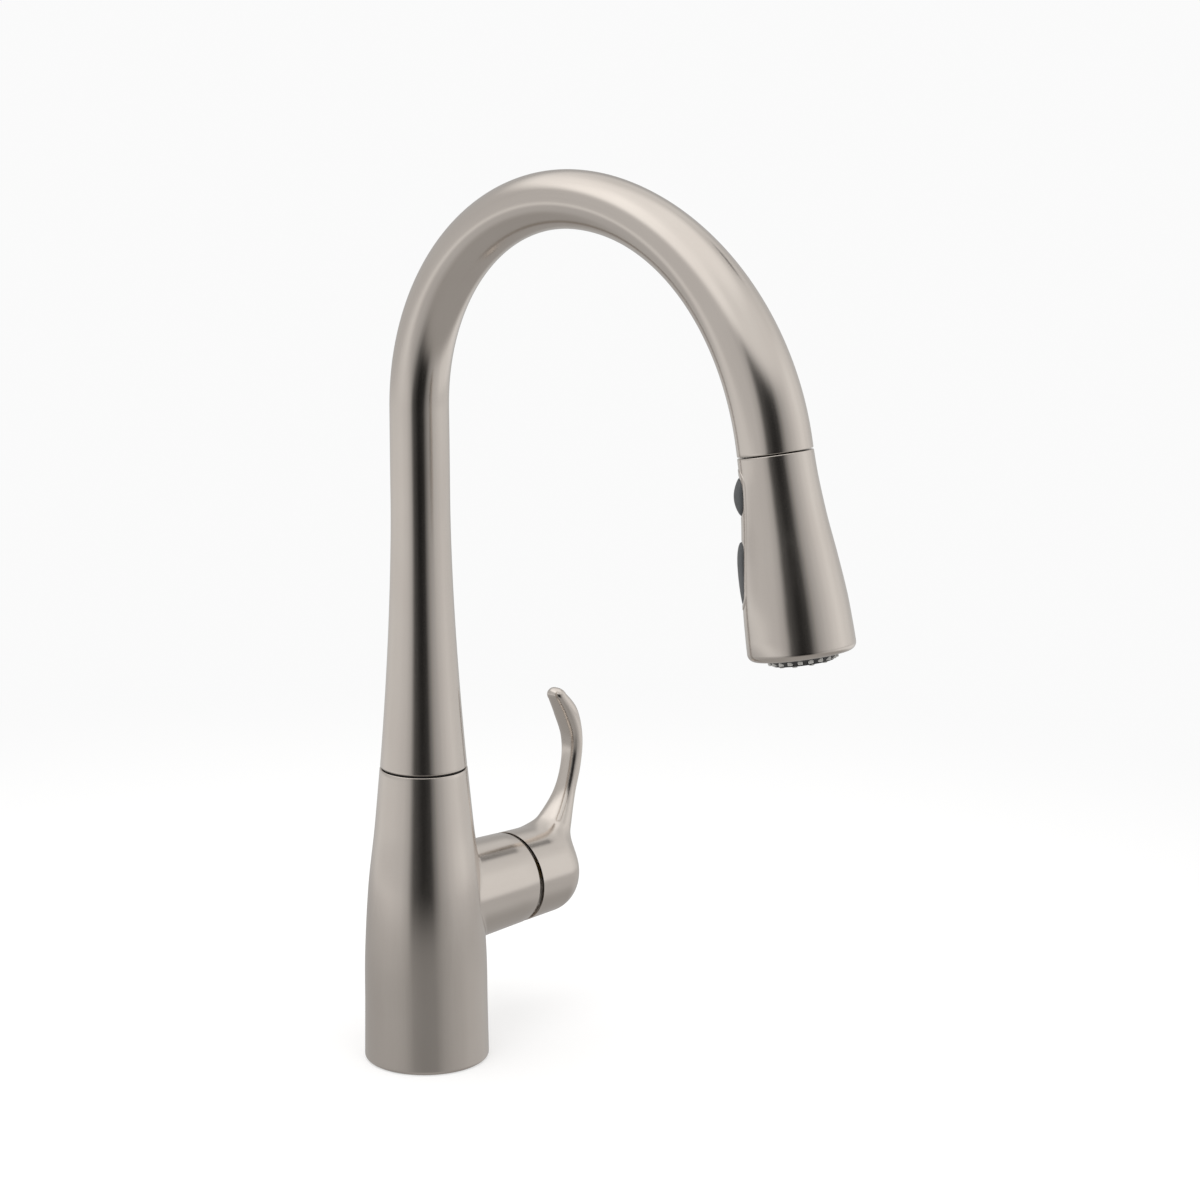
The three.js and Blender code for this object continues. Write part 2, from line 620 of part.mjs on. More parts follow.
function nozzleMat() {
  const plate = ring(7.4, 17, 77, 79, MEDIUM);
  return nozzlePlaces().reduce(
    (mat, [x, y, tip]) => mat.add(rod([x, y, 78], [x, y, tip], NOZZLE_R, 6)),
    plate,
  );
}

// A flat face with a bevelled edge, in which the outer row of nozzles stands.
function sprayFace() {
  const bevel = [[17.2, 84], [14.8, 84.9], [12.6, 87]];
  const plate = [[7.4, 79.3], [17.2, 79.3], ...bevel, [7.4, 87], [7.4, 79.3]];
  return nozzlePlaces().reduce(
    (face, [x, y]) => face.subtract(rod([x, y, 78], [x, y, 88], NOZZLE_R + FIT, 6)),
    turned(plate),
  );
}

function aerator() {
  const cup = ring(4.6, 7, 70.3, 86.6).add(disc(5, 72, 74));
  const holes = [[0, 0], ...circleOutline(2.9, 6).map((place) => [place.x, place.y])];
  return holes.reduce((part, [x, y]) => part.subtract(rod([x, y, 71], [x, y, 75], 0.8, 6)), cup);
}

add('nozzle_mat', nozzleRubber, nozzleMat(), headFrame);
add('spray_face', darkPlastic, sprayFace(), headFrame);
add('aerator', greyPlastic, aerator(), headFrame);

// ---- Buttons ----
const BUTTON_HALF = 5.2;
const UPPER_SPAN = [8.2, 24];
const LOWER_SPAN = [34.4, 60];
// How proud of the shell each button stands. A skew below 1 moves its crest towards the spout.
const UPPER_CROWN = { span: UPPER_SPAN, height: 2.4, skew: 1 };
const LOWER_CROWN = { span: LOWER_SPAN, height: 1.6, skew: 0.55 };

// What lies between two offsets from the shell's outer surface.
function shellLayer(inner, outer) {
  const [low, high] = [PAD_SPAN[0] - 2, PAD_SPAN[1] + 2];
  const outside = outlineStretch(HEAD_OUTLINE, low, high, 6, -outer);
  const inside = outlineStretch(HEAD_OUTLINE, high, low, 6, -inner);
  return turned([...outside, ...inside, outside[0]], ROUND);
}

function buttonPad() {
  const [low, high] = PAD_SPAN;
  return shellLayer(-2.4, 0.2)
    .intersect(stadium(PAD_HALF, low, high))
    .subtract(stadium(BUTTON_HALF + FIT, UPPER_SPAN[0] - FIT, UPPER_SPAN[1] + FIT))
    .subtract(stadium(BUTTON_HALF + FIT, LOWER_SPAN[0] - FIT, LOWER_SPAN[1] + FIT));
}

function crownHeight({ span: [low, high], height, skew }, place) {
  const part = THREE.MathUtils.clamp((place - low) / (high - low), 0, 1);
  return height * Math.sin(Math.PI * part ** skew) ** 0.75;
}

// A button is a prism with a crowned outer face and a flat inner one, clear of the waterway.
function button(crown, footing) {
  const [low, high] = crown.span;
  const outside = outlineStretch(HEAD_OUTLINE, low - 1, high + 1, 12);
  const crowned = outside.map(([r, z]) => [r + crownHeight(crown, z), z]);
  return turned([[0, low - 1], ...crowned, [0, high + 1]], ROUND)
    .intersect(stadium(BUTTON_HALF, low, high))
    .subtract(box([-9, -footing, low - 2], [9, 1, high + 2]));
}

function buttonSpring(place, from, to) {
  const coil = rod([0, -from, place], [0, -to, place], 2.2, 8);
  return coil.subtract(rod([0, 0, place], [0, -40, place], 1.2, 8));
}

add('button_pad', nickel, buttonPad(), buttonFrame);
add('button_upper', greyPlastic, button(UPPER_CROWN, 13.2), buttonFrame);
add('button_lower', greyPlastic, button(LOWER_CROWN, 15.4), buttonFrame);
add('button_spring_upper', steel, buttonSpring(16, 10.3, 12.9), buttonFrame);
add('button_spring_lower', steel, buttonSpring(47, 10.3, 15.1), buttonFrame);

export default faucet;
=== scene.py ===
import json
import math
import bpy
import numpy as np
from mathutils import Matrix, Vector


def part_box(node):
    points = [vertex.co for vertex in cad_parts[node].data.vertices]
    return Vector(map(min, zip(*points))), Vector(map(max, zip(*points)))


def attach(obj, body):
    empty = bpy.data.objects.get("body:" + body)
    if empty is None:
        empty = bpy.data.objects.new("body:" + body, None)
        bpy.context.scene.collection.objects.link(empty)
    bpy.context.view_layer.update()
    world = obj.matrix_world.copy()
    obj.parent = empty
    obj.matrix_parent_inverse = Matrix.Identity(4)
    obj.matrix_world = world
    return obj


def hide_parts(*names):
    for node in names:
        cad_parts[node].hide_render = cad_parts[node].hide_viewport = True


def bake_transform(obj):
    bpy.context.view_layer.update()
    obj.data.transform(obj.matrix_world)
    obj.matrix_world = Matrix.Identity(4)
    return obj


# The looks of a single-lever pull-down kitchen faucet. Meshes are worked out in millimetres, in the
# CAD's own frame: +Z up, the origin on the deck, the spout towards -Y and the lever at +X.
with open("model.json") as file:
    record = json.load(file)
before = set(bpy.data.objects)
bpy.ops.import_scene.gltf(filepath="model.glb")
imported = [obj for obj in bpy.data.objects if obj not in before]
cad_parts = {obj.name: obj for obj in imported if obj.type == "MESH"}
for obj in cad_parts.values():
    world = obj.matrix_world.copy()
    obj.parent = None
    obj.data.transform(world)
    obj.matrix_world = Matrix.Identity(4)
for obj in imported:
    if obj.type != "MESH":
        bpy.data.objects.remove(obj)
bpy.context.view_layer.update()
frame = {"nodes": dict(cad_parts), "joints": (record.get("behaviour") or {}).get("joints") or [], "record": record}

MM = 0.001
SIDES = 128  # round a large piece
FINE = 64  # round a small piece
FIT = 0.3  # the CAD's gap between two pieces that touch


def joint(name):
    return next(j for j in frame["joints"] if j["name"] == name)


def top_of(node):
    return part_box(node)[1].z / MM


# ---- Driving dimensions, from the frame where it holds them ----
BODY_TOP = top_of("base_body")
SPOUT_START = BODY_TOP + 0.9
BODY_OUTLINE = [(29.3, 2), (28.9, 25), (28.5, 52), (26.5, 84), (23.2, 112), (20.4, BODY_TOP)]
BODY_WALL = 3
FOOT_R, FOOT_ROUNDING = 29.28, 1.9
SHANK_R = 16.5
STUB_Z = joint("flow")["pos_m"][2] / MM
PIVOT_X = joint("flow")["pos_m"][0] / MM
STUB_END = 55
STUB_R = 22.1
STUB_TAPER = 0.04
STUB_BORE = 19.6
NECK_TOP = 310
RISE_R = 100
FALL_R = 114
LAST_STRAIGHT = 3.5
NECK_R = 13.6
WALL = 1.8
DOCK = Vector(joint("spray_head_swivel")["pos_m"]) / MM
HEAD_AXIS = Vector(joint("spray_head_swivel")["axis"])
DOCK_TILT = math.atan2(-HEAD_AXIS.y, -HEAD_AXIS.z)
HEAD_TOP = 0.5
HEAD_END = 84
HEAD_OUTLINE = [(15.8, 1.4), (16.2, 12), (17.6, 28), (19.7, 44), (21.6, 61), (22.4, 76)]
HEAD_ROLL = math.radians(-42)
PAD_SPAN = (4.5, 62.5)
PAD_HALF = 8

# Local frames: +Z along the valve stub, and down the spray head, with and without the buttons' roll.
ON_STUB = Matrix.Translation((0, 0, STUB_Z)) @ Matrix.Rotation(math.pi / 2, 4, "Y")
ON_HEAD = Matrix.Translation(DOCK) @ Matrix.Rotation(math.pi - DOCK_TILT, 4, "X")
ON_BUTTONS = ON_HEAD @ Matrix.Rotation(HEAD_ROLL, 4, "Z")
UPRIGHT = Matrix.Identity(4)


# ---- Camera ----
def make_camera():
    """At the photograph's viewing angle, a long lens about a metre and a half away."""
    azimuth, elevation, distance = math.radians(-46.21), math.radians(12.39), 1.5203
    target = Vector((0.0900, -0.0272, 0.2102))
    level = math.cos(elevation)
    back = Vector((math.sin(azimuth) * level, -math.cos(azimuth) * level, math.sin(elevation)))
    data = bpy.data.cameras.new("camera")
    data.sensor_width = 36
    data.lens = 96.24
    data.clip_end = 40
    camera = bpy.data.objects.new("camera", data)
    camera.location = target + back * distance
    camera.rotation_mode = "QUATERNION"
    camera.rotation_quaternion = (-back).to_track_quat("-Z", "Y")
    bpy.context.scene.collection.objects.link(camera)
    bpy.context.scene.camera = camera
    return azimuth


# ---- Node helpers ----
class Tree:
    """A node tree that is filled one node at a time. A socket value is a number, a colour or a link."""

    def __init__(self, tree):
        self.tree = tree

    def add(self, kind, inputs=(), **settings):
        node = self.tree.nodes.new(kind)
        for name, value in settings.items():
            setattr(node, name, value)
        for key, value in dict(inputs).items():
            if isinstance(value, bpy.types.NodeSocket):
                self.tree.links.new(value, node.inputs[key])
            else:
                node.inputs[key].default_value = value
        return node

    def math(self, operation, a, b=0.0, c=0.0):
        return self.add("ShaderNodeMath", {0: a, 1: b, 2: c}, operation=operation).outputs[0]

    def spread(self, value, low, high, to_low, to_high, kind="LINEAR"):
        ends = {"Value": value, "From Min": low, "From Max": high, "To Min": to_low, "To Max": to_high}
        return self.add("ShaderNodeMapRange", ends, interpolation_type=kind).outputs["Result"]

    def ramp(self, value, stops, ease="LINEAR"):
        node = self.add("ShaderNodeValToRGB", {"Fac": value})
        node.color_ramp.interpolation = ease
        points = node.color_ramp.elements
        while len(points) < len(stops):
            points.new(0.5)
        for point, (place, colour) in zip(points, stops):
            point.position = place
            point.color = (*colour, 1) if isinstance(colour, (tuple, list)) else (colour,) * 3 + (1,)
        return node.outputs["Color"]

    def mix(self, part, a, b):
        node = self.add("ShaderNodeMix", {0: part, 6: a, 7: b}, data_type="RGBA")
        return node.outputs[2]

    def noise(self, vector, scale, detail=2.0, roughness=0.5):
        inputs = {"Vector": vector, "Scale": scale, "Detail": detail, "Roughness": roughness}
        return self.add("ShaderNodeTexNoise", inputs).outputs["Fac"]

    def scaled(self, vector, scale):
        return self.add("ShaderNodeMapping", {"Vector": vector, "Scale": scale}).outputs["Vector"]


def new_material(name, colour, roughness, metallic=0.0, **sockets):
    material = bpy.data.materials.new(name)
    material.use_nodes = True
    tree = Tree(material.node_tree)
    shader = material.node_tree.nodes["Principled BSDF"]
    shader.inputs["Base Color"].default_value = (*colour, 1)
    shader.inputs["Roughness"].default_value = roughness
    shader.inputs["Metallic"].default_value = metallic
    for key, value in sockets.items():
        shader.inputs[key.replace("_", " ")].default_value = value
    return material, tree, shader


def link(tree, shader, **sockets):
    for key, value in sockets.items():
        tree.tree.links.new(value, shader.inputs[key.replace("_", " ")])


def bump(tree, height, distance_mm, strength=1.0):
    inputs = {"Height": height, "Distance": distance_mm * MM, "Strength": strength}
    return tree.add("ShaderNodeBump", inputs).outputs["Normal"]


# ---- Materials ----
def brushed_nickel():
    """Warm satin nickel, brushed along each piece. Its grain is the piece straightened out, in mm."""
    material, tree, shader = new_material("brushed_nickel", (0.65, 0.60, 0.555), 0.22, 1.0)
    grain = tree.add("ShaderNodeAttribute", attribute_name="grain").outputs["Vector"]
    hairs = tree.noise(tree.scaled(grain, (5.5, 5.5, 0.06)), 1.0, 3.0, 0.6)
    strokes = tree.noise(tree.scaled(grain, (1.1, 1.1, 0.015)), 1.0, 2.0, 0.5)
    clouds = tree.noise(tree.scaled(grain, (0.05, 0.05, 0.03)), 1.0, 2.0, 0.5)
    brushing = tree.math("MULTIPLY_ADD", hairs, 0.6, tree.math("MULTIPLY", strokes, 0.4))
    tint = tree.math("MULTIPLY_ADD", clouds, 0.5, tree.math("MULTIPLY", brushing, 0.5))
    colour = tree.ramp(tint, [(0.3, (0.635, 0.585, 0.54)), (0.7, (0.675, 0.63, 0.585))])
    rough = tree.spread(brushing, 0.25, 0.75, 0.15, 0.21)
    link(tree, shader, Base_Color=colour, Roughness=rough, Normal=bump(tree, brushing, 0.004, 0.5))
    return material


def machined(name, dark, light, roughness, rings=3.0):
    """Turned metal with fine tool marks, and slightly uneven tarnish."""
    material, tree, shader = new_material(name, light, roughness, 1.0)
    place = tree.add("ShaderNodeTexCoord").outputs["Object"]
    marks = tree.noise(tree.scaled(place, (300, 300, 1000 * rings)), 1.0, 2.0)
    tarnish = tree.noise(place, 90.0, 4.0, 0.6)
    colour = tree.ramp(tarnish, [(0.35, dark), (0.62, light)])
    rough = tree.spread(tarnish, 0.3, 0.7, roughness + 0.1, roughness - 0.05)
    link(tree, shader, Base_Color=colour, Roughness=rough, Normal=bump(tree, marks, 0.03, 0.6))
    return material


def moulded(name, dark, light, roughness, grain_size=1400.0, depth=0.02, **sockets):
    """Moulded plastic or rubber, with a fine spark-eroded grain and faint mottling."""
    material, tree, shader = new_material(name, light, roughness, **sockets)
    place = tree.add("ShaderNodeTexCoord").outputs["Object"]
    grain = tree.noise(place, grain_size, 2.0, 0.6)
    mottle = tree.noise(place, 60.0, 3.0, 0.5)
    colour = tree.ramp(mottle, [(0.3, dark), (0.7, light)])
    rough = tree.spread(grain, 0.3, 0.7, roughness - 0.06, roughness + 0.08)
    link(tree, shader, Base_Color=colour, Roughness=rough, Normal=bump(tree, grain, depth, 0.5))
    return material


def lapped_ceramic():
    material, tree, shader = new_material("lapped_ceramic", (0.85, 0.84, 0.8), 0.22, Coat_Weight=0.3)
    place = tree.add("ShaderNodeTexCoord").outputs["Object"]
    specks = tree.noise(place, 900.0, 3.0, 0.7)
    colour = tree.ramp(specks, [(0.4, (0.82, 0.81, 0.77)), (0.65, (0.89, 0.88, 0.85))])
    link(tree, shader, Base_Color=colour, Normal=bump(tree, specks, 0.01, 0.3))
    return material


def woven_braid():
    """Two families of dark strands that cross over the hose, which lies along the head's axis where it shows.
    The strands are laid out in place, so they keep their size however far the hose is drawn out."""
    material, tree, shader = new_material("woven_braid", (0.09, 0.09, 0.1), 0.5, Sheen_Weight=0.15)
    place = tree.add("ShaderNodeTexCoord").outputs["Object"]
    local = tree.add("ShaderNodeVectorMath", {0: place, 1: DOCK * MM}, operation="SUBTRACT").outputs[0]
    inputs = {"Vector": local, "Angle": DOCK_TILT - math.pi}
    turned = tree.add("ShaderNodeVectorRotate", inputs, rotation_type="X_AXIS")
    parts = tree.add("ShaderNodeSeparateXYZ", {"Vector": turned.outputs[0]}).outputs
    turn = tree.math("ARCTAN2", parts["Y"], parts["X"])
    strands, pitch = 12.0, 1150.0
    along = tree.math("MULTIPLY", parts["Z"], pitch)
    right = tree.math("SINE", tree.math("MULTIPLY_ADD", turn, strands, along))
    left = tree.math("SINE", tree.math("MULTIPLY_ADD", turn, -strands, along))
    over = tree.math("MAXIMUM", right, left)
    fibres = tree.noise(place, 2500.0, 2.0)
    height = tree.math("MULTIPLY_ADD", fibres, 0.3, over)
    # Painted shade and painted sheen: the colour is darkest down in the grooves between the strands and lightest
    # on the strands' crowns.
    groove_shade_crown_sheen = [(0.0, (0.012, 0.012, 0.014)), (0.55, (0.07, 0.07, 0.078)), (1.0, (0.17, 0.17, 0.18))]
    colour = tree.ramp(height, groove_shade_crown_sheen)
    rough = tree.spread(height, 0.0, 1.2, 0.75, 0.42)
    link(tree, shader, Base_Color=colour, Roughness=rough, Normal=bump(tree, height, 0.25, 0.8))
    return material


MATERIALS = {
    "brushed_nickel": brushed_nickel(),
    "brass": machined("machined_brass", (0.50, 0.36, 0.15), (0.74, 0.57, 0.28), 0.3),
    "steel": machined("machined_steel", (0.42, 0.42, 0.43), (0.63, 0.63, 0.64), 0.3),
    "magnet_metal": machined("plated_magnet", (0.36, 0.36, 0.38), (0.52, 0.52, 0.54), 0.22),
    "black_rubber": moulded("black_rubber", (0.012, 0.012, 0.012), (0.028, 0.028, 0.03), 0.75, 900, 0.05),
    "white_plastic": moulded(
        "white_acetal", (0.72, 0.70, 0.66), (0.82, 0.80, 0.77), 0.42, Subsurface_Weight=0.05
    ),
    "dark_plastic": moulded("dark_plastic", (0.010, 0.010, 0.011), (0.022, 0.022, 0.024), 0.38),
    "grey_button": moulded("soft_touch_grey", (0.070, 0.074, 0.078), (0.105, 0.11, 0.115), 0.48, 1800, 0.03),
    "aerator_plastic": moulded("aerator_grey", (0.10, 0.10, 0.105), (0.15, 0.15, 0.155), 0.45),
    "ceramic": lapped_ceramic(),
    "hose_braid": woven_braid(),
    "nozzle_rubber": moulded("nozzle_silicone", (0.50, 0.49, 0.46), (0.64, 0.63, 0.60), 0.55, 1500, 0.03),
}


# ---- Mesh helpers ----
def link_mesh(name, points, faces):
    mesh = bpy.data.meshes.new(name)
    mesh.from_pydata([tuple(map(float, p)) for p in points], [], [tuple(map(int, f)) for f in faces])
    mesh.validate()
    piece = bpy.data.objects.new(name, mesh)
    bpy.context.scene.collection.objects.link(piece)
    return piece


def placed(points, matrix):
    turned = np.array(matrix.to_3x3())
    return np.asarray(points, float) @ turned.T + np.array(matrix.translation)


def lathe(profile, sides=SIDES, matrix=UPRIGHT, name="lathe"):
    """A profile of (radius, height) points turned about +Z. It is closed, or starts and ends on the axis."""
    open_ends = abs(profile[0][0]) < 1e-9
    points, rings = [], []
    for radius, height in profile:
        if radius < 1e-9:
            rings.append([len(points)])
            points.append((0, 0, height))
            continue
        rings.append(list(range(len(points), len(points) + sides)))
        for i in range(sides):
            turn = 2 * math.pi * i / sides
            points.append((radius * math.cos(turn), radius * math.sin(turn), height))
    faces = []
    pairs = list(zip(rings, rings[1:])) + ([] if open_ends else [(rings[-1], rings[0])])
    for low, high in pairs:
        for i in range(sides):
            after = (i + 1) % sides
            if len(low) == 1:
                faces.append((low[0], high[after], high[i]))
            elif len(high) == 1:
                faces.append((low[i], low[after], high[0]))
            else:
                faces.append((low[i], low[after], high[after], high[i]))
    return link_mesh(name, placed(points, matrix), faces)


def rounded(profile, radius=0.35, steps=3):
    """The same profile, with each corner that isn't on the axis turned into a small arc."""
    points = [np.array(p, float) for p in profile]
    closed = profile[0][0] > 1e-9
    count = len(points)
    result = []
    for i, point in enumerate(points):
        if not closed and i in (0, count - 1):
            result.append(point)
            continue
        before, after = points[i - 1] - point, points[(i + 1) % count] - point
        reach = min(radius, np.linalg.norm(before) * 0.4, np.linalg.norm(after) * 0.4)
        start = point + before / np.linalg.norm(before) * reach
        end = point + after / np.linalg.norm(after) * reach
        for k in range(steps + 1):
            t = k / steps
            result.append((1 - t) ** 2 * start + 2 * t * (1 - t) * point + t * t * end)
    return [tuple(p) for p in result]


def band(inner, outer, low, high):
    return [(inner, low), (outer, low), (outer, high), (inner, high)]


def rod(start, end, radius, sides=FINE, name="rod"):
    """A round rod between two points, used as a cutter or a plain pin."""
    start, end = Vector(start), Vector(end)
    along = end - start
    matrix = Matrix.Translation(start) @ along.to_track_quat("Z", "Y").to_matrix().to_4x4()
    return lathe([(0, 0), (radius, 0), (radius, along.length), (0, along.length)], sides, matrix, name)


def block(low, high, name="block"):
    corners = [(x, y, z) for x in (low[0], high[0]) for y in (low[1], high[1]) for z in (low[2], high[2])]
    faces = [(0, 1, 3, 2), (4, 6, 7, 5), (0, 4, 5, 1), (2, 3, 7, 6), (0, 2, 6, 4), (1, 5, 7, 3)]
    return link_mesh(name, corners, faces)


def join_cut(target, tool, operation="DIFFERENCE"):
    """Cuts the tool from the target, or joins it on, and removes the tool."""
    modifier = target.modifiers.new("cut", "BOOLEAN")
    modifier.operation = operation
    modifier.solver = "EXACT"
    modifier.object = tool
    graph = bpy.context.evaluated_depsgraph_get()
    mesh = bpy.data.meshes.new_from_object(target.evaluated_get(graph))
    target.modifiers.clear()
    target.data = mesh
    bpy.data.objects.remove(tool)
    return target


def corners_of(piece):
    co = np.zeros(len(piece.data.vertices) * 3)
    piece.data.vertices.foreach_get("co", co)
    return co.reshape(-1, 3)


def joined(name, pieces):
    """One object from several that don't touch, such as a row of screws."""
    points, faces = [], []
    for piece in pieces:
        start = len(points)
        points += list(corners_of(piece))
        faces += [tuple(start + v for v in face.vertices) for face in piece.data.polygons]
        bpy.data.objects.remove(piece)
    return link_mesh(name, points, faces)


def finish_piece(piece, name, body, slot, node, grain=None, sharp=34):
    """Turns a mesh in mm into a finished piece: shading, material, body, slot and the node it stands for."""
    piece.name = piece.data.name = name
    if grain is not None:
        layer = piece.data.attributes.new("grain", "FLOAT_VECTOR", "POINT")
        layer.data.foreach_set("vector", np.asarray(grain(corners_of(piece)), np.float32).ravel())
    piece.data.transform(Matrix.Scale(MM, 4))
    piece.data.shade_smooth()
    piece.data.set_sharp_from_angle(angle=math.radians(sharp))
    piece.data.materials.clear()
    piece.data.materials.append(MATERIALS[slot])
    if isinstance(body, str):
        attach(piece, body)
    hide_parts(node)
    return piece


def along_frame(matrix):
    """Grain that runs along a local frame's Z."""
    back = matrix.inverted()
    return lambda points: placed(points, back)


# ---- Surfaces given by a distance ----
def soft_min(a, b, blend):
    part = np.clip(0.5 + 0.5 * (b - a) / blend, 0, 1)
    return b + (a - b) * part - blend * part * (1 - part)


def soft_max(a, b, blend):
    return -soft_min(-a, -b, blend)


def iso_surface(distance, low, high, step, name):
    """A quad mesh of the surface where distance is 0.

    Each grid cell that the surface crosses holds one corner, which is then moved on to the surface."""
    axes = [np.arange(a, b + step, step) for a, b in zip(low, high)]
    grid = np.stack(np.meshgrid(*axes, indexing="ij"), -1)
    values = distance(grid.reshape(-1, 3)).reshape(grid.shape[:3])
    cells = [n - 1 for n in values.shape]
    total, count = np.zeros((*cells, 3)), np.zeros(cells)
    crossings = []
    for axis in range(3):
        near = [slice(None)] * 3
        far = [slice(None)] * 3
        near[axis], far[axis] = slice(None, -1), slice(1, None)
        v0, v1 = values[tuple(near)], values[tuple(far)]
        crossed = (v0 < 0) != (v1 < 0)
        part = np.where(crossed, v0 / np.where(crossed, v0 - v1, 1), 0)
        places = grid[tuple(near)].copy()
        places[..., axis] += part * step
        crossings.append((crossed, v0 < 0))
        others = [a for a in range(3) if a != axis]
        for i in (0, 1):
            for k in (0, 1):
                window = [slice(None)] * 3
                window[others[0]] = slice(i, i + cells[others[0]])
                window[others[1]] = slice(k, k + cells[others[1]])
                here = crossed[tuple(window)]
                total += places[tuple(window)] * here[..., None]
                count += here
    index = -np.ones(cells, int)
    used = count > 0
    index[used] = np.arange(used.sum())
    points = total[used] / count[used][:, None]
    faces = []
    for axis, (crossed, inward) in enumerate(crossings):
        b, c = [(1, 2), (2, 0), (0, 1)][axis]
        for place in np.argwhere(crossed):
            if min(place[b], place[c]) < 1 or place[b] >= cells[b] or place[c] >= cells[c]:
                continue
            ring = []
            for db, dc in ((-1, -1), (0, -1), (0, 0), (-1, 0)):
                cell = place.copy()
                cell[b] += db
                cell[c] += dc
                ring.append(index[tuple(cell)])
            faces.append(ring if inward[tuple(place)] else ring[::-1])
    nudge = 0.02
    for _ in range(4):
        level = distance(points)
        slope = np.stack([distance(points + nudge * e) - distance(points - nudge * e) for e in np.eye(3)], -1)
        slope /= 2 * nudge
        move = slope * (level / np.maximum((slope**2).sum(-1), 1e-3))[:, None]
        points = points - np.clip(move, -step / 2, step / 2)
    return link_mesh(name, points, faces)


# ---- Outlines ----
def catmull(points, count=400):
    """The smooth curve through the points that the CAD's spline makes."""
    p = np.array(points, float)
    spans = len(p) - 1
    result = []
    for t in np.linspace(0, spans, count):
        i = min(int(t), spans - 1)
        w = t - i
        p0, p1, p2, p3 = p[max(i - 1, 0)], p[i], p[i + 1], p[min(i + 2, spans)]
        v0, v1 = (p2 - p0) / 2, (p3 - p1) / 2
        cubic = (2 * p1 - 2 * p2 + v0 + v1) * w**3 + (-3 * p1 + 3 * p2 - 2 * v0 - v1) * w**2
        result.append(cubic + v0 * w + p1)
    return np.array(result)


def outline(points):
    curve = catmull(points)
    return lambda height: np.interp(height, curve[:, 1], curve[:, 0])


body_radius = outline(BODY_OUTLINE)
head_radius = outline(HEAD_OUTLINE)


def stretch(radius, low, high, steps, shrink=0.0):
    return [(float(radius(z)) - shrink, float(z)) for z in np.linspace(low, high, steps + 1)]


# ---- Base body ----
def stub_radius(x):
    return STUB_R + STUB_TAPER * (STUB_END - x)


def stub_mesh():
    """The valve stub: rings from the body's curved wall, with a small fillet there, to a chamfered rim."""
    fillet = 1.3
    starts, turns = [], np.linspace(0, 2 * math.pi, SIDES, endpoint=False)
    for turn in turns:
        x = 25.0
        for _ in range(20):
            y, z = stub_radius(x) * math.sin(turn), STUB_Z + stub_radius(x) * math.cos(turn)
            x = math.sqrt(max(float(body_radius(z)) ** 2 - y * y, 100.0))
        starts.append(x)
    offsets = [-1.2, 0, 0.12, 0.3, 0.55, 0.9, 1.3, 1.8, 2.6, 4]
    rows = [[(start + step, turn) for start, turn in zip(starts, turns)] for step in offsets]
    ends = [start + offsets[-1] for start in starts]
    for part in (0.25, 0.5, 0.75):
        rows.append([(a + (STUB_END - 1.6 - a) * part, turn) for a, turn in zip(ends, turns)])
    points, faces = [], []
    for row in rows:
        for x, turn in row:
            r = stub_radius(x)
            y, z = r * math.sin(turn), STUB_Z + r * math.cos(turn)
            gap = math.hypot(x, y) - float(body_radius(z))
            facing = y * math.sin(turn) / math.hypot(x, y)
            if gap < fillet:
                near = fillet - max(gap, 0)
                r += (1 - facing) * (fillet - math.sqrt(fillet**2 - near**2)) * 0.8
            points.append((x, r * math.sin(turn), STUB_Z + r * math.cos(turn)))
    for back, cut in ((1.3, 0), (0.9, 0.08), (0.5, 0.24), (0.2, 0.42), (0, 0.7)):
        x = STUB_END - back
        for turn in turns:
            r = stub_radius(x) - cut
            points.append((x, r * math.sin(turn), STUB_Z + r * math.cos(turn)))
    count = len(points) // SIDES
    for j in range(count - 1):
        for i in range(SIDES):
            after = (i + 1) % SIDES
            faces.append((j * SIDES + i, (j + 1) * SIDES + i, (j + 1) * SIDES + after, j * SIDES + after))
    for row, x in ((0, 12), (count - 1, STUB_END)):
        middle = len(points)
        points.append((x, 0, STUB_Z))
        for i in range(SIDES):
            pair = (row * SIDES + i, row * SIDES + (i + 1) % SIDES)
            faces.append((*(pair if row == 0 else pair[::-1]), middle))
    return link_mesh("stub", points, faces)


def base_body():
    middle = FOOT_R - FOOT_ROUNDING
    turns = np.linspace(0, 1.5, 9)
    foot = [(middle + FOOT_ROUNDING * math.sin(t), FOOT_ROUNDING * (1 - math.cos(t))) for t in turns]
    side = stretch(body_radius, 2.2, BODY_TOP - 0.6, 110)
    r = float(body_radius(BODY_TOP))
    rim = [(r - cut, BODY_TOP - down) for cut, down in ((0.02, 0.3), (0.1, 0.12), (0.24, 0.03), (0.42, 0))]
    socket = [(16.8, BODY_TOP), (16.6, BODY_TOP - 0.2), (16.6, 120), (12.3, 120), (12.3, 104)]
    cavity = stretch(body_radius, 104, 9, 24, BODY_WALL)
    floor = [(16.8, 9), (16.8, 2), (25, 2), (25, 0)]
    piece = lathe(foot + side + rim + socket + cavity + floor, 192)
    join_cut(piece, stub_mesh(), "UNION")
    bore = lathe([(0, 8), (STUB_BORE, 8), (STUB_BORE, STUB_END + 1), (0, STUB_END + 1)], 128, ON_STUB)
    join_cut(piece, bore)
    chamfer = lathe([(0, 54.6), (STUB_BORE, 54.6), (STUB_BORE + 0.5, 55.2), (0, 55.2)], 128, ON_STUB)
    join_cut(piece, chamfer)

    def grain(points):
        """Up the body, and along the stub beyond it."""
        on_stub = np.hypot(points[:, 0], points[:, 1]) > body_radius(points[:, 2]) + 0.25
        local = placed(points, ON_STUB.inverted())
        return np.where(on_stub[:, None], local, points)

    return finish_piece(piece, "base_body_shell", "root", "brushed_nickel", "base_body", grain)


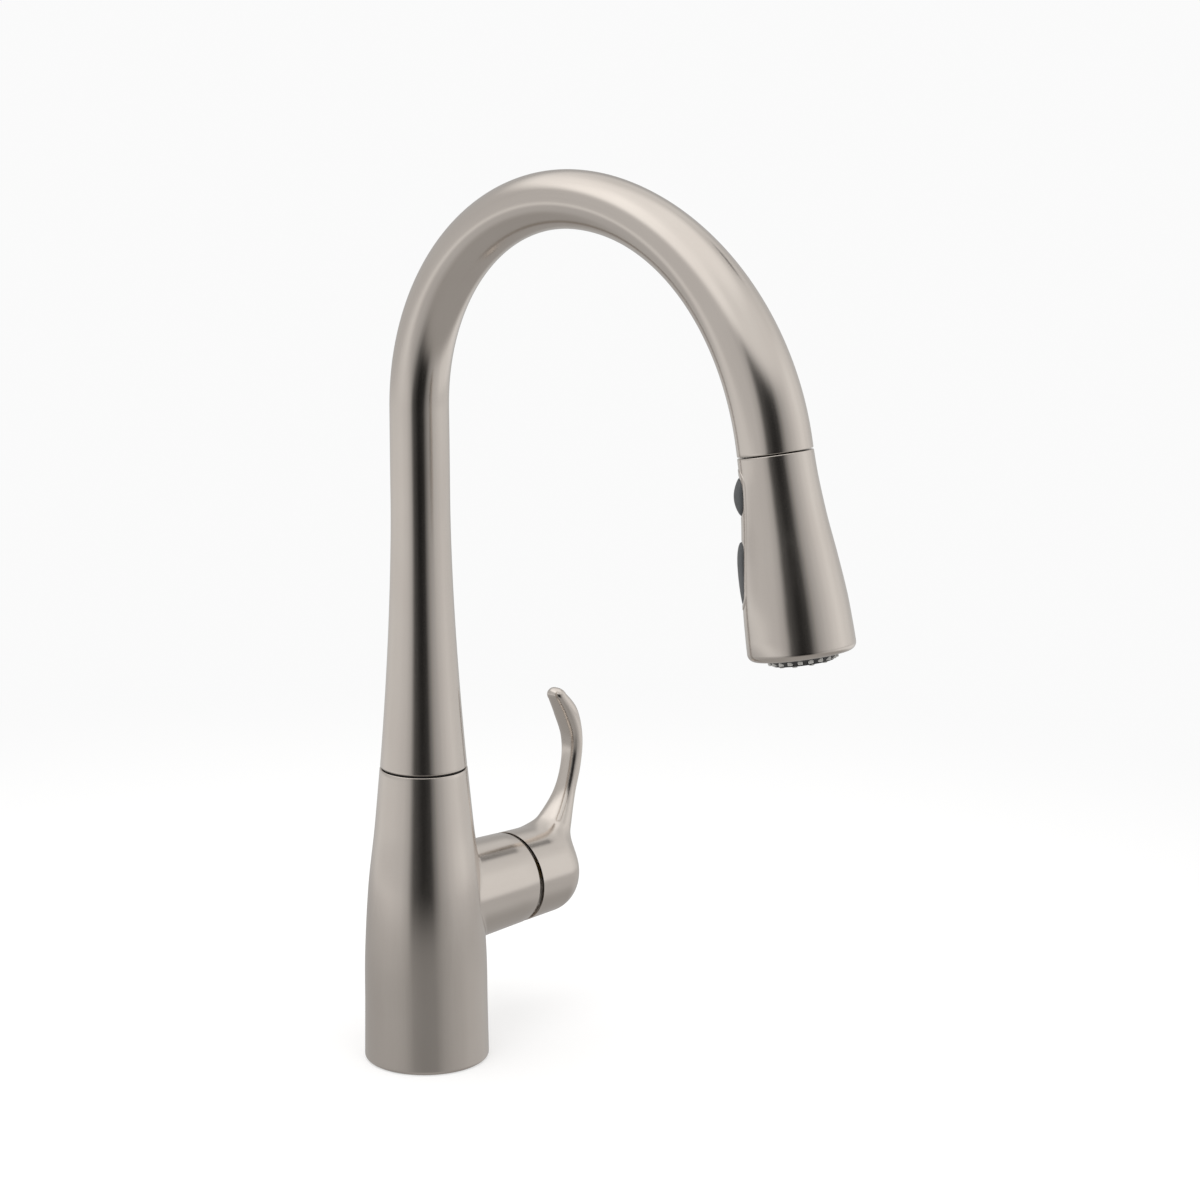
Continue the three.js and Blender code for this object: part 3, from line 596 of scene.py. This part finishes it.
# ---- Spout ----
NECK_LENGTH = NECK_TOP - SPOUT_START
RISE_LENGTH = RISE_R * math.pi / 2
FALL_LENGTH = FALL_R * (math.pi / 2 - DOCK_TILT)
BENT_LENGTH = NECK_LENGTH + RISE_LENGTH + FALL_LENGTH
SPOUT_LENGTH = BENT_LENGTH + LAST_STRAIGHT


def spout_place(distance):
    """Place and heading on the spout's centre line, at a distance along it from the bottom of the neck."""
    if distance < NECK_LENGTH:
        return Vector((0, 0, SPOUT_START + distance)), Vector((0, 0, 1))
    rise = min(distance - NECK_LENGTH, RISE_LENGTH) / RISE_R
    fall = max(min(distance, BENT_LENGTH) - NECK_LENGTH - RISE_LENGTH, 0) / FALL_R
    reach = RISE_R * (1 - math.cos(rise)) + FALL_R * math.sin(fall)
    height = RISE_R * math.sin(rise) - FALL_R * (1 - math.cos(fall))
    heading = Vector((0, -math.sin(rise + fall), math.cos(rise + fall)))
    return Vector((0, -reach, NECK_TOP + height)) + heading * max(distance - BENT_LENGTH, 0), heading


def smooth(value, low, high):
    part = min(max((value - low) / (high - low), 0), 1)
    return part * part * (3 - 2 * part)


def spout_radius(distance):
    foot = 6.6 * max(0, 1 - distance / 125) ** 1.7
    return NECK_R + foot - 0.95 * smooth(distance, 130, 325) + 3.1 * smooth(distance, 350, 490)


def swept(rings, sides, name):
    """A closed tube from rings of (distance along the spout, radius), and its points straightened out."""
    points, grain, faces = [], [], []
    for distance, radius in rings:
        place, heading = spout_place(distance)
        side = Vector((1, 0, 0))
        lift = heading.cross(side)
        for i in range(sides):
            turn = 2 * math.pi * i / sides
            points.append(place + float(radius) * (math.cos(turn) * side + math.sin(turn) * lift))
            grain.append((radius * math.cos(turn), radius * math.sin(turn), distance))
    count = len(rings)
    for j in range(count):
        for i in range(sides):
            after = (i + 1) % sides
            k = (j + 1) % count
            faces.append((j * sides + i, j * sides + after, k * sides + after, k * sides + i))
    return link_mesh(name, points, faces), np.array(grain)


def spout_tube():
    """The gooseneck, with a small bright radius at both rims."""
    end = SPOUT_LENGTH
    rim = [(0, -0.4), (0.05, -0.18), (0.18, -0.05), (0.4, 0)]
    outer = [(s, spout_radius(s) + cut) for s, cut in rim]
    outer += [(s, spout_radius(s)) for s in np.linspace(1.2, end - 1.2, 260)]
    outer += [(end - s, spout_radius(end - s) + cut) for s, cut in reversed(rim)]
    inner = [(s, spout_radius(s) - WALL) for s in np.linspace(end, 0, 120)]
    piece, straight = swept(outer + inner, 112, "spout")
    grain = lambda points: straight
    return finish_piece(piece, "spout_tube_shell", "spout", "brushed_nickel", "spout_tube", grain)


# ---- Lever ----
CAP_RIM_TOP, CAP_RIM_LOW, CAP_END = 56.1, 58.1, 89.5
CAP_ROUNDING = 13
LEVER_LINE = [(76.5, 82), (86, 96), (93.2, 109.8), (97.8, 124), (98.4, 137.2), (94.4, 150), (88.5, 158.9)]
LEVER_HALF_WIDTHS = [13, 9.2, 5.8, 5.2, 5.9, 6.4, 5.2]
LEVER_HALF_DEPTHS = [12, 6.4, 3.9, 3.8, 3.8, 4.5, 3.3]
LEVER_BLEND = 5.0
LEVER_SHAPE = 2.5  # 2 gives an oval section, and more gives flatter faces
LEVER_BOX = (47, -25, 50), (104, 25, 168)
LEVER_STEP = 0.8
CAP_SIDE, CAP_DRAFT = 22.05, 0.028
SCREW_X = 71


def lever_curve():
    line = catmull(LEVER_LINE, 121)
    sizes = catmull(list(zip(LEVER_HALF_WIDTHS, LEVER_HALF_DEPTHS)), 121)
    heading = np.gradient(line, axis=0)
    heading /= np.linalg.norm(heading, axis=1)[:, None]
    lengths = np.concatenate([[0], np.cumsum(np.linalg.norm(np.diff(line, axis=0), axis=1))])
    return line, heading, sizes, lengths


def blade_local(points):
    """For each point: offset across the blade, reach past its ends, (half width, half depth), and length."""
    line, heading, sizes, lengths = lever_curve()
    flat = points[:, [0, 2]]
    best = np.full(len(points), 1e9)
    nearest = np.zeros(len(points), int)
    for i, place in enumerate(line):
        gap = ((flat - place) ** 2).sum(1)
        closer = gap < best
        best[closer] = gap[closer]
        nearest[closer] = i
    steps = np.arange(len(line))
    spacing = np.gradient(lengths)
    exact = nearest + ((flat - line[nearest]) * heading[nearest]).sum(1) / spacing[nearest]
    place = np.stack([np.interp(exact, steps, column) for column in line.T], -1)
    facing = np.stack([np.interp(exact, steps, column) for column in heading.T], -1)
    size = np.stack([np.interp(exact, steps, column) for column in sizes.T], -1)
    offset = flat - place
    ahead = (offset * facing).sum(1)
    across = offset[:, 1] * facing[:, 0] - offset[:, 0] * facing[:, 1]
    return across, ahead, size, np.interp(exact, steps, lengths) + ahead


def blade_distance(points):
    across, ahead, sizes, _ = blade_local(points)
    width, depth = sizes[:, 0], sizes[:, 1]
    beyond = np.maximum(np.abs(ahead) - 0.4, 0) / np.minimum(width, depth * 1.25)
    oval = np.abs(across / depth) ** LEVER_SHAPE + np.abs(points[:, 1] / width) ** LEVER_SHAPE + beyond**2
    return (np.maximum(oval, 1e-9) ** (1 / LEVER_SHAPE) - 1) * np.minimum(width, depth)


def cap_distance(points):
    reach = points[:, 0]
    radius = np.hypot(points[:, 1], points[:, 2] - STUB_Z)
    side = CAP_SIDE - CAP_DRAFT * (reach - STUB_END)
    a = radius - (side - CAP_ROUNDING)
    b = reach - (CAP_END - CAP_ROUNDING)
    corner = np.hypot(np.maximum(a, 0), np.maximum(b, 0))
    return corner + np.minimum(np.maximum(a, b), 0) - CAP_ROUNDING


def lever_distance(points):
    return soft_min(cap_distance(points), blade_distance(points), LEVER_BLEND)


def lever_handle():
    piece = iso_surface(lever_distance, *LEVER_BOX, LEVER_STEP, "lever")
    slant = math.atan((CAP_RIM_LOW - CAP_RIM_TOP) / (2 * STUB_R))
    middle = (CAP_RIM_LOW + CAP_RIM_TOP) / 2
    trim = block((-60, -60, -60), (0, 60, 120))
    trim.data.transform(Matrix.Translation((middle, 0, STUB_Z)) @ Matrix.Rotation(-slant, 4, "Y"))
    join_cut(piece, trim)
    hollow = [(0, 40), (21.1, 40), (21.1, 58.5), (17.5, 64), (0, 64)]
    join_cut(piece, lathe(hollow, 128, ON_STUB))
    join_cut(piece, rod((60, 0, STUB_Z), (78, 0, STUB_Z), 3.9))
    join_cut(piece, rod((SCREW_X, 0, STUB_Z), (SCREW_X, 0, STUB_Z - 30), 2.8))

    def grain(points):
        across, _, _, length = blade_local(points)
        blade = np.stack([across, points[:, 1], length + CAP_END], -1)
        cap = placed(points, ON_STUB.inverted())
        part = np.clip((cap_distance(points) + 1) / 8, 0, 1)[:, None]
        return cap * (1 - part) + blade * part

    return finish_piece(piece, "lever_handle_cast", "lever", "brushed_nickel", "lever_handle", grain, 68)


# ---- Spray head ----
def stadium(half, low, high, depth=40, name="stadium"):
    """A prism with round ends that runs out from the head's axis the way the buttons face."""
    steps = 24
    ring = []
    for i in range(steps + 1):
        turn = math.pi + math.pi * i / steps
        ring.append((half * math.cos(turn), low + half + half * math.sin(turn)))
    for i in range(steps + 1):
        turn = math.pi * i / steps
        ring.append((half * math.cos(turn), high - half + half * math.sin(turn)))
    count = len(ring)
    points = [(x, 0, z) for x, z in ring] + [(x, -depth, z) for x, z in ring]
    faces = [(i, (i + 1) % count, count + (i + 1) % count, count + i) for i in range(count)]
    faces += [tuple(reversed(range(count))), tuple(range(count, 2 * count))]
    return link_mesh(name, placed(points, ON_BUTTONS), faces)


LIP_R, LIP_ROUNDING = 19.3, 3.2


def head_shell():
    r = float(head_radius(1.4))
    rim = [(r - 0.4, HEAD_TOP), (r - 0.18, HEAD_TOP + 0.05), (r - 0.05, HEAD_TOP + 0.18), (r, HEAD_TOP + 0.4)]
    side = stretch(head_radius, 1.5, 76, 90)
    turns = np.linspace(0, math.pi / 2, 12)
    middle = HEAD_END - LIP_ROUNDING
    fillet = [(LIP_R + LIP_ROUNDING * math.cos(t), middle + LIP_ROUNDING * math.sin(t)) for t in turns]
    lip = [(17.85, HEAD_END), (17.66, HEAD_END - 0.08), (17.6, HEAD_END - 0.3)]
    inside = stretch(head_radius, 74, 2.6, 30, WALL)
    piece = lathe(rim + side + fillet + lip + inside + [(9.3, 2.6), (9.3, HEAD_TOP)], 160, ON_BUTTONS)
    join_cut(piece, stadium(PAD_HALF + FIT, PAD_SPAN[0] - FIT, PAD_SPAN[1] + FIT))
    grain = along_frame(ON_BUTTONS)
    return finish_piece(piece, "spray_head_shell", "spray_head", "brushed_nickel", "head_shell", grain)


def stadium_distance(local, half, span):
    along = np.clip(local[:, 2], span[0] + half, span[1] - half)
    return np.hypot(local[:, 0], local[:, 2] - along) - half


def shell_offset(local):
    return np.hypot(local[:, 0], local[:, 1]) - head_radius(local[:, 2])


def head_piece(distance, low, high, step, name):
    """A surface worked out in the buttons' frame and put in place."""
    piece = iso_surface(distance, low, high, step, name)
    piece.data.transform(ON_BUTTONS)
    return piece


BUTTONS = {
    "upper": {"span": (8.2, 24), "height": 2.8, "skew": 1.0, "footing": 13.2},
    "lower": {"span": (34.4, 60), "height": 1.9, "skew": 0.55, "footing": 15.4},
}
BUTTON_HALF = 5.2
CROWN_HALF = 5.9  # where a button's crown would reach the shell on each side


def pad_distance(local):
    offset = shell_offset(local)
    layer = soft_max(offset - 0.2, -offset - 2.4, 0.3)
    result = soft_max(layer, stadium_distance(local, PAD_HALF, PAD_SPAN), 0.6)
    for shape in BUTTONS.values():
        low, high = shape["span"]
        hole = stadium_distance(local, BUTTON_HALF + FIT, (low - FIT, high + FIT))
        result = soft_max(result, -hole, 0.4)
    return np.maximum(result, local[:, 1])


def button_distance(shape):
    """A crown that rises from the shell's surface at both ends, and rounds down to it at the sides."""
    low, high = shape["span"]

    def distance(local):
        part = np.clip((local[:, 2] - low) / (high - low), 0, 1)
        along = np.maximum(np.sin(np.pi * part ** shape["skew"]), 0) ** 0.75
        across = np.sqrt(np.clip(1 - (local[:, 0] / CROWN_HALF) ** 2, 0, 1))
        crown = shell_offset(local) - shape["height"] * along * across
        body = soft_max(crown, stadium_distance(local, BUTTON_HALF, shape["span"]), 0.6)
        return np.maximum(body, local[:, 1] + shape["footing"])

    return distance


def button_group():
    pad = head_piece(pad_distance, (-9, -25, 3), (9, -8, 65), 0.42, "pad")
    grain = along_frame(ON_BUTTONS)
    finish_piece(pad, "button_pad_bezel", "spray_head", "brushed_nickel", "button_pad", grain, 50)
    for name, shape in BUTTONS.items():
        low, high = shape["span"]
        proud = -float(head_radius(high)) - shape["height"] - 1
        box = ((-6.2, proud, low - 1), (6.2, 1 - shape["footing"], high + 1))
        button = head_piece(button_distance(shape), *box, 0.38, name)
        node = f"button_{name}"
        finish_piece(button, f"{node}_cap", f"{name}_button", "grey_button", node, None, 50)


NOZZLE_ROWS = ((10.1, 9, 87.6), (13.6, 20, 86.3))  # radius, count and how far down the tips reach


def nozzle_places():
    for radius, count, tip in NOZZLE_ROWS:
        for i in range(count):
            turn = 2 * math.pi * i / count
            yield radius * math.cos(turn), radius * math.sin(turn), tip


def at_nozzle(x, y):
    return ON_HEAD @ Matrix.Translation((x, y, 0))


def nozzle(x, y, tip):
    side = [(0, 78.5), (1.15, 78.5), (1.15, tip - 0.8), (1.1, tip - 0.3), (1.0, tip - 0.06)]
    mouth = [(0.85, tip), (0.45, tip), (0.4, tip - 0.5), (0, tip - 0.5)]
    return lathe(side + mouth, 24, at_nozzle(x, y))


def spray_face():
    plate = rounded([(7.4, 79.3), (17.2, 79.3), (17.2, 84), (14.8, 84.9), (12.6, 87), (7.4, 87)], 0.3)
    piece = lathe(plate, SIDES, ON_HEAD)
    for x, y, _ in nozzle_places():
        join_cut(piece, lathe([(0, 78), (1.4, 78), (1.4, 88), (0, 88)], 24, at_nozzle(x, y)))
    finish_piece(piece, "spray_face_plate", "spray_head", "dark_plastic", "spray_face")
    mat = [lathe(rounded(band(7.4, 17, 77, 79)), SIDES, ON_HEAD)]
    mat += [nozzle(*place) for place in nozzle_places()]
    finish_piece(joined("mat", mat), "nozzle_mat_soft", "spray_head", "nozzle_rubber", "nozzle_mat")
    cup = [(4.6, 70.3), (7, 70.3), (7, 86.6), (5.6, 86.6), (4.9, 85.8), (4.6, 85.8)]
    outlet = lathe(rounded(cup, 0.3), 96, ON_HEAD)
    join_cut(outlet, lathe([(0, 80.2), (5.2, 80.2), (5.2, 81.4), (0, 81.4)], 96, ON_HEAD), "UNION")
    for i in range(-4, 5):
        for k in range(-4, 5):
            x, y = i * 1.0 + 0.5 * (k % 2), k * 0.87
            if math.hypot(x, y) < 4.2:
                join_cut(outlet, lathe([(0, 79), (0.36, 79), (0.36, 83), (0, 83)], 6, at_nozzle(x, y)))
    finish_piece(outlet, "aerator_screen", "spray_head", "aerator_plastic", "aerator")


# ---- Turned pieces inside and below ----
def bonnet_profile():
    outer, inner, mouth = 19, 17.5, 11

    def arc(radius, start, end):
        angles = np.linspace(start, end, 18)
        return [(radius * math.cos(a), PIVOT_X + radius * math.sin(a)) for a in angles]

    outside = arc(outer, math.asin(1.5 / outer), math.acos(mouth / outer))
    return outside + arc(inner, math.acos(mouth / inner), math.asin(1.5 / inner))


COLLAR = [(9.6, -15), (11.2, -15), (11.2, -1.8), (13.1, -1.8), (13.1, -0.2), (9.6, -0.2)]
DOCK_RING = [(7.7, -14), (9, -14), (9, 2.9), (13, 2.9), (13, 3.9), (7.7, 3.9)]
CONNECTOR = [(3, -16), (7.2, -16), (7.2, 5), (6.4, 5), (6.4, 7.4), (7.2, 7.4), (7.2, 12), (3, 12)]
TURNED = [
    ("seam_glide_ring", "spout", "dark_plastic", band(17, 19.6, 141.25, 141.65), UPRIGHT),
    ("bonnet_dome", "root", "dark_plastic", bonnet_profile(), ON_STUB),
    ("docking_collar", "spout", "dark_plastic", COLLAR, ON_HEAD),
    ("dock_magnet", "spout", "magnet_metal", band(11.5, 13, -6, -2.1), ON_HEAD),
    ("head_dock_ring", "spray_head", "dark_plastic", DOCK_RING, ON_HEAD),
    ("hose_connector", "hose_end", "brass", CONNECTOR, ON_HEAD),
    ("base_gasket", "root", "black_rubber", band(17.5, 24.7, 0, 1.7), UPRIGHT),
    ("deck_washer", "root", "black_rubber", band(17.1, 28, -23, -20), UPRIGHT),
    ("clamp_washer", "root", "steel", band(17.1, 28, -25.5, -23.3), UPRIGHT),
    ("lower_bearing_ring", "root", "white_plastic", band(13.3, 16.2, 126.3, 140.8), UPRIGHT),
    ("upper_bearing_ring", "spout", "white_plastic", band(13.3, 14.3, 182.3, 184), UPRIGHT),
    ("cartridge_nut", "root", "brass", band(11.2, 19.2, 38.3, 43), ON_STUB),
    ("disc_seal", "root", "black_rubber", band(4, 17, 14.3, 15.8), ON_STUB),
    ("head_magnet", "spray_head", "magnet_metal", band(7.9, 13, 4.2, 6), ON_HEAD),
]


def turned_pieces():
    for node, body, slot, profile, matrix in TURNED:
        smooth_already = node == "bonnet_dome"
        shape = profile if smooth_already else rounded(profile)
        finish_piece(lathe(shape, 96, matrix), f"{node}_turned", body, slot, node)


def circle(radius, height, sides):
    turns = np.linspace(0, 2 * math.pi, sides, endpoint=False)
    return [(radius * math.cos(t), radius * math.sin(t), height) for t in turns]


def threaded_shank():
    """The threaded shank: a helix of small ridges below the deck, plain above it."""
    low, high, pitch, depth, steps = -62.0, 8.5, 1.5, 0.45, 8
    sides = 64
    bottom, top = low + 1.0, -2.0
    rows = int((top - bottom) / pitch * steps)
    rings = [(14, low), (15.6, low), (SHANK_R - depth, low + 0.8)]
    points, faces = [], []
    for radius, z in rings:
        points += circle(radius, z, sides)
    for j in range(rows + 1):
        z = bottom + (top - bottom) * j / rows
        fade = smooth(z, bottom, bottom + 2) * (1 - smooth(z, top - 3, top))
        for i in range(sides):
            turn = 2 * math.pi * i / sides
            wave = abs(((z / pitch - i / sides) % 1) * 2 - 1)
            radius = SHANK_R - depth * wave * fade
            points.append((radius * math.cos(turn), radius * math.sin(turn), z))
    for radius, z in ((SHANK_R, high - 0.4), (SHANK_R - 0.4, high), (14, high)):
        points += circle(radius, z, sides)
    count = len(points) // sides
    for j in range(count):
        for i in range(sides):
            after, k = (i + 1) % sides, (j + 1) % count
            faces.append((j * sides + i, j * sides + after, k * sides + after, k * sides + i))
    piece = link_mesh("shank", points, faces)
    finish_piece(piece, "mounting_shank_threaded", "root", "brass", "mounting_shank")


def hose_lead():
    """The hose where it leaves the spout. It is drawn out with the spray head."""
    straight, seat, radius = 28, 16 + FIT, 6
    heights = np.linspace(-straight, -seat, 72)
    profile = [(0, -straight)] + [(radius, z) for z in heights] + [(0, -seat)]
    piece = lathe(profile, 48, ON_HEAD)
    finish_piece(piece, "hose_lead_braided", None, "hose_braid", "hose_lead")
    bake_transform(piece)


# ---- Materials of the CAD's own nodes ----
def dress_cad_nodes():
    slots = {part["node"]: part["material_slot"] for part in frame["record"]["subparts"]}
    for node, piece in frame["nodes"].items():
        if piece.hide_render:
            continue
        piece.data.materials.clear()
        piece.data.materials.append(MATERIALS[slots[node]])


# ---- Studio ----
def emitter(name, colour, strength):
    material = bpy.data.materials.new(name)
    material.use_nodes = True
    tree = Tree(material.node_tree)
    tree.tree.nodes.remove(tree.tree.nodes["Principled BSDF"])
    out = tree.tree.nodes["Material Output"]
    glow = tree.add("ShaderNodeEmission", {"Color": (*colour, 1), "Strength": strength})
    tree.tree.links.new(glow.outputs[0], out.inputs["Surface"])
    return material, tree, glow


FLOOR_WHITE = 0.96  # how bright the plain floor and the backdrop look


def make_floor():
    """A plain pale floor, clear when it is seen from below. It takes a soft shadow only near the object."""
    bpy.ops.mesh.primitive_circle_add(vertices=96, radius=7, fill_type="NGON", location=(0, 0, -0.00005))
    floor = bpy.context.active_object
    floor.name = "floor"
    glowing = {"Emission_Color": (1, 1, 1, 1), "Emission_Strength": 0.5}
    material, tree, shader = new_material("pale_floor", (0.5, 0.5, 0.5), 0.9, **glowing)
    place = tree.add("ShaderNodeTexCoord").outputs["Object"]
    rough = tree.spread(tree.noise(place, 40.0, 3.0), 0.3, 0.7, 0.85, 0.95)
    link(tree, shader, Roughness=rough)
    glow = tree.add("ShaderNodeEmission", {"Color": (1, 1, 1, 1), "Strength": FLOOR_WHITE})
    reach = tree.add("ShaderNodeVectorMath", {0: place}, operation="LENGTH").outputs["Value"]
    far = tree.spread(reach, 0.12, 0.75, 0.0, 1.0, "SMOOTHSTEP")
    surface = tree.add("ShaderNodeMixShader", {0: far, 1: shader.outputs[0], 2: glow.outputs[0]})
    back = tree.add("ShaderNodeNewGeometry").outputs["Backfacing"]
    clear = tree.add("ShaderNodeBsdfTransparent")
    mix = tree.add("ShaderNodeMixShader", {0: back, 1: surface.outputs[0], 2: clear.outputs[0]})
    tree.tree.links.new(mix.outputs[0], tree.tree.nodes["Material Output"].inputs["Surface"])
    floor.data.materials.append(material)
    floor.visible_glossy = False


def make_backdrop():
    """A plain pale dome that only the camera sees."""
    bpy.ops.mesh.primitive_uv_sphere_add(segments=48, ring_count=24, radius=6.9)
    dome = bpy.context.active_object
    dome.name = "backdrop"
    dome.data.materials.append(emitter("backdrop_white", (1, 1, 1), FLOOR_WHITE)[0])
    for ray in ("diffuse", "glossy", "transmission", "shadow", "volume_scatter"):
        setattr(dome, f"visible_{ray}", False)


def make_near_floor():
    """What the metal near the deck reflects of the bright table around it. The camera doesn't see it."""
    bpy.ops.mesh.primitive_circle_add(vertices=96, radius=0.6, fill_type="NGON", location=(0, 0, 0.0001))
    card = bpy.context.active_object
    card.name = "near_floor_card"
    material, tree, glow = emitter("near_floor_glow", (0.9, 0.88, 0.86), 0.48)
    place = tree.add("ShaderNodeTexCoord").outputs["Object"]
    reach = tree.add("ShaderNodeVectorMath", {0: place}, operation="LENGTH").outputs["Value"]
    clear = tree.add("ShaderNodeBsdfTransparent")
    fade = tree.spread(reach, 0.26, 0.60, 0.35, 1.0, "SMOOTHSTEP")
    mix = tree.add("ShaderNodeMixShader", {0: fade, 1: glow.outputs[0], 2: clear.outputs[0]})
    tree.tree.links.new(mix.outputs[0], tree.tree.nodes["Material Output"].inputs["Surface"])
    card.data.materials.append(material)
    for ray in ("camera", "diffuse", "transmission", "shadow", "volume_scatter"):
        setattr(card, f"visible_{ray}", False)


# The studio's brightness around the horizon, as (degrees to the right of the camera, brightness): towards the
# table, level and a little above. A dark gap stands behind the camera.
STUDIO_LOW = [
    (-180, 0.50), (-110, 0.54), (-75, 0.58), (-55, 0.56), (-42, 0.50), (-28, 0.30), (-18, 0.08),
    (0, 0.01), (21, 0.02), (30, 0.22), (41, 0.42), (56, 0.58), (72, 0.67), (90, 0.85), (130, 0.90),
    (180, 0.50),
]
STUDIO_MID = [
    (-180, 0.50), (-147, 0.68), (-114, 0.84), (-73, 0.88), (-50, 0.78), (-33, 0.58), (-21, 0.07),
    (0, 0.01), (18, 0.02), (27, 0.20), (36, 0.36), (46, 0.44), (62, 0.62), (92, 0.70), (130, 0.72),
    (180, 0.50),
]
STUDIO_HIGH = [
    (-180, 0.50), (-120, 0.60), (-80, 0.66), (-50, 0.64), (-35, 0.54), (-20, 0.08), (0, 0.02),
    (17, 0.04), (26, 0.24), (36, 0.44), (45, 0.54), (60, 0.68), (76, 0.82), (94, 0.94), (115, 0.84),
    (148, 0.62), (180, 0.48),
]
STUDIO_TOP = [
    (-180, 0.80), (-120, 1.20), (-90, 1.35), (-45, 1.15), (0, 0.90), (80, 0.85), (130, 0.75),
    (180, 0.80),
]
WARMTH = (1.0, 0.985, 0.97)
# A small dark flag, high on the right: how dark it is around the horizon, and how dark at each height.
FLAG_AROUND = [(123, 0.0), (127, 1.0), (138, 1.0), (142, 0.0)]
FLAG_HEIGHT = [(0.665, 0.0), (0.69, 1.0), (0.725, 1.0), (0.75, 0.0)]


def make_world(azimuth):
    """A soft studio of procedural light, set out around the photograph's viewing direction."""
    world = bpy.data.worlds.new("studio")
    bpy.context.scene.world = world
    world.use_nodes = True
    tree = Tree(world.node_tree)
    background = world.node_tree.nodes["Background"]
    direction = tree.add("ShaderNodeTexCoord").outputs["Generated"]
    parts = tree.add("ShaderNodeSeparateXYZ", {"Vector": direction}).outputs
    towards = (math.sin(azimuth), -math.cos(azimuth))
    across = (math.cos(azimuth), math.sin(azimuth))
    ahead = tree.math("MULTIPLY_ADD", parts["X"], towards[0], tree.math("MULTIPLY", parts["Y"], towards[1]))
    right = tree.math("MULTIPLY_ADD", parts["X"], across[0], tree.math("MULTIPLY", parts["Y"], across[1]))
    turn = tree.spread(tree.math("ARCTAN2", right, ahead), -math.pi, math.pi, 0, 1)

    def around(stops):
        return tree.ramp(turn, [((degrees + 180) / 360, value) for degrees, value in stops], "EASE")

    height = parts["Z"]
    sky = around(STUDIO_LOW)
    sky = tree.mix(tree.spread(height, -0.31, -0.22, 0, 1, "SMOOTHSTEP"), sky, around(STUDIO_MID))
    sky = tree.mix(tree.spread(height, -0.19, -0.09, 0, 1, "SMOOTHSTEP"), sky, around(STUDIO_HIGH))
    sky = tree.mix(tree.spread(height, 0.40, 0.62, 0, 1, "SMOOTHSTEP"), sky, around(STUDIO_TOP))
    flag = tree.math("MULTIPLY", around(FLAG_AROUND), tree.ramp(height, FLAG_HEIGHT))
    sky = tree.mix(flag, sky, (0.02, 0.02, 0.02, 1))
    sky = tree.mix(tree.spread(height, 0.80, 0.97, 0, 1, "SMOOTHSTEP"), sky, (1.1, 1.1, 1.1, 1))
    sky = tree.mix(tree.spread(height, -0.45, -0.70, 0, 1, "SMOOTHSTEP"), sky, (0.40, 0.39, 0.38, 1))
    warm = tree.add("ShaderNodeVectorMath", {0: sky, 1: WARMTH}, operation="MULTIPLY").outputs[0]
    tree.tree.links.new(warm, background.inputs["Color"])


def make_light():
    """A soft overhead light for a gentle shadow on the floor."""
    data = bpy.data.lights.new("overhead", "AREA")
    data.energy = 26
    data.shape = "RECTANGLE"
    data.size, data.size_y = 2.2, 1.6
    light = bpy.data.objects.new("overhead", data)
    light.location = (-0.5, -0.7, 2.4)
    light.rotation_mode = "QUATERNION"
    light.rotation_quaternion = Vector((0.5, 0.7, -2.3)).to_track_quat("-Z", "Y")
    light.visible_camera = False
    light.visible_glossy = False
    bpy.context.scene.collection.objects.link(light)


view_azimuth = make_camera()
base_body()
spout_tube()
lever_handle()
head_shell()
button_group()
spray_face()
turned_pieces()
threaded_shank()
hose_lead()
dress_cad_nodes()
make_floor()
make_backdrop()
make_near_floor()
make_world(view_azimuth)
make_light()
bpy.context.scene.view_settings.view_transform = "Standard"
bpy.context.scene.view_settings.look = "None"
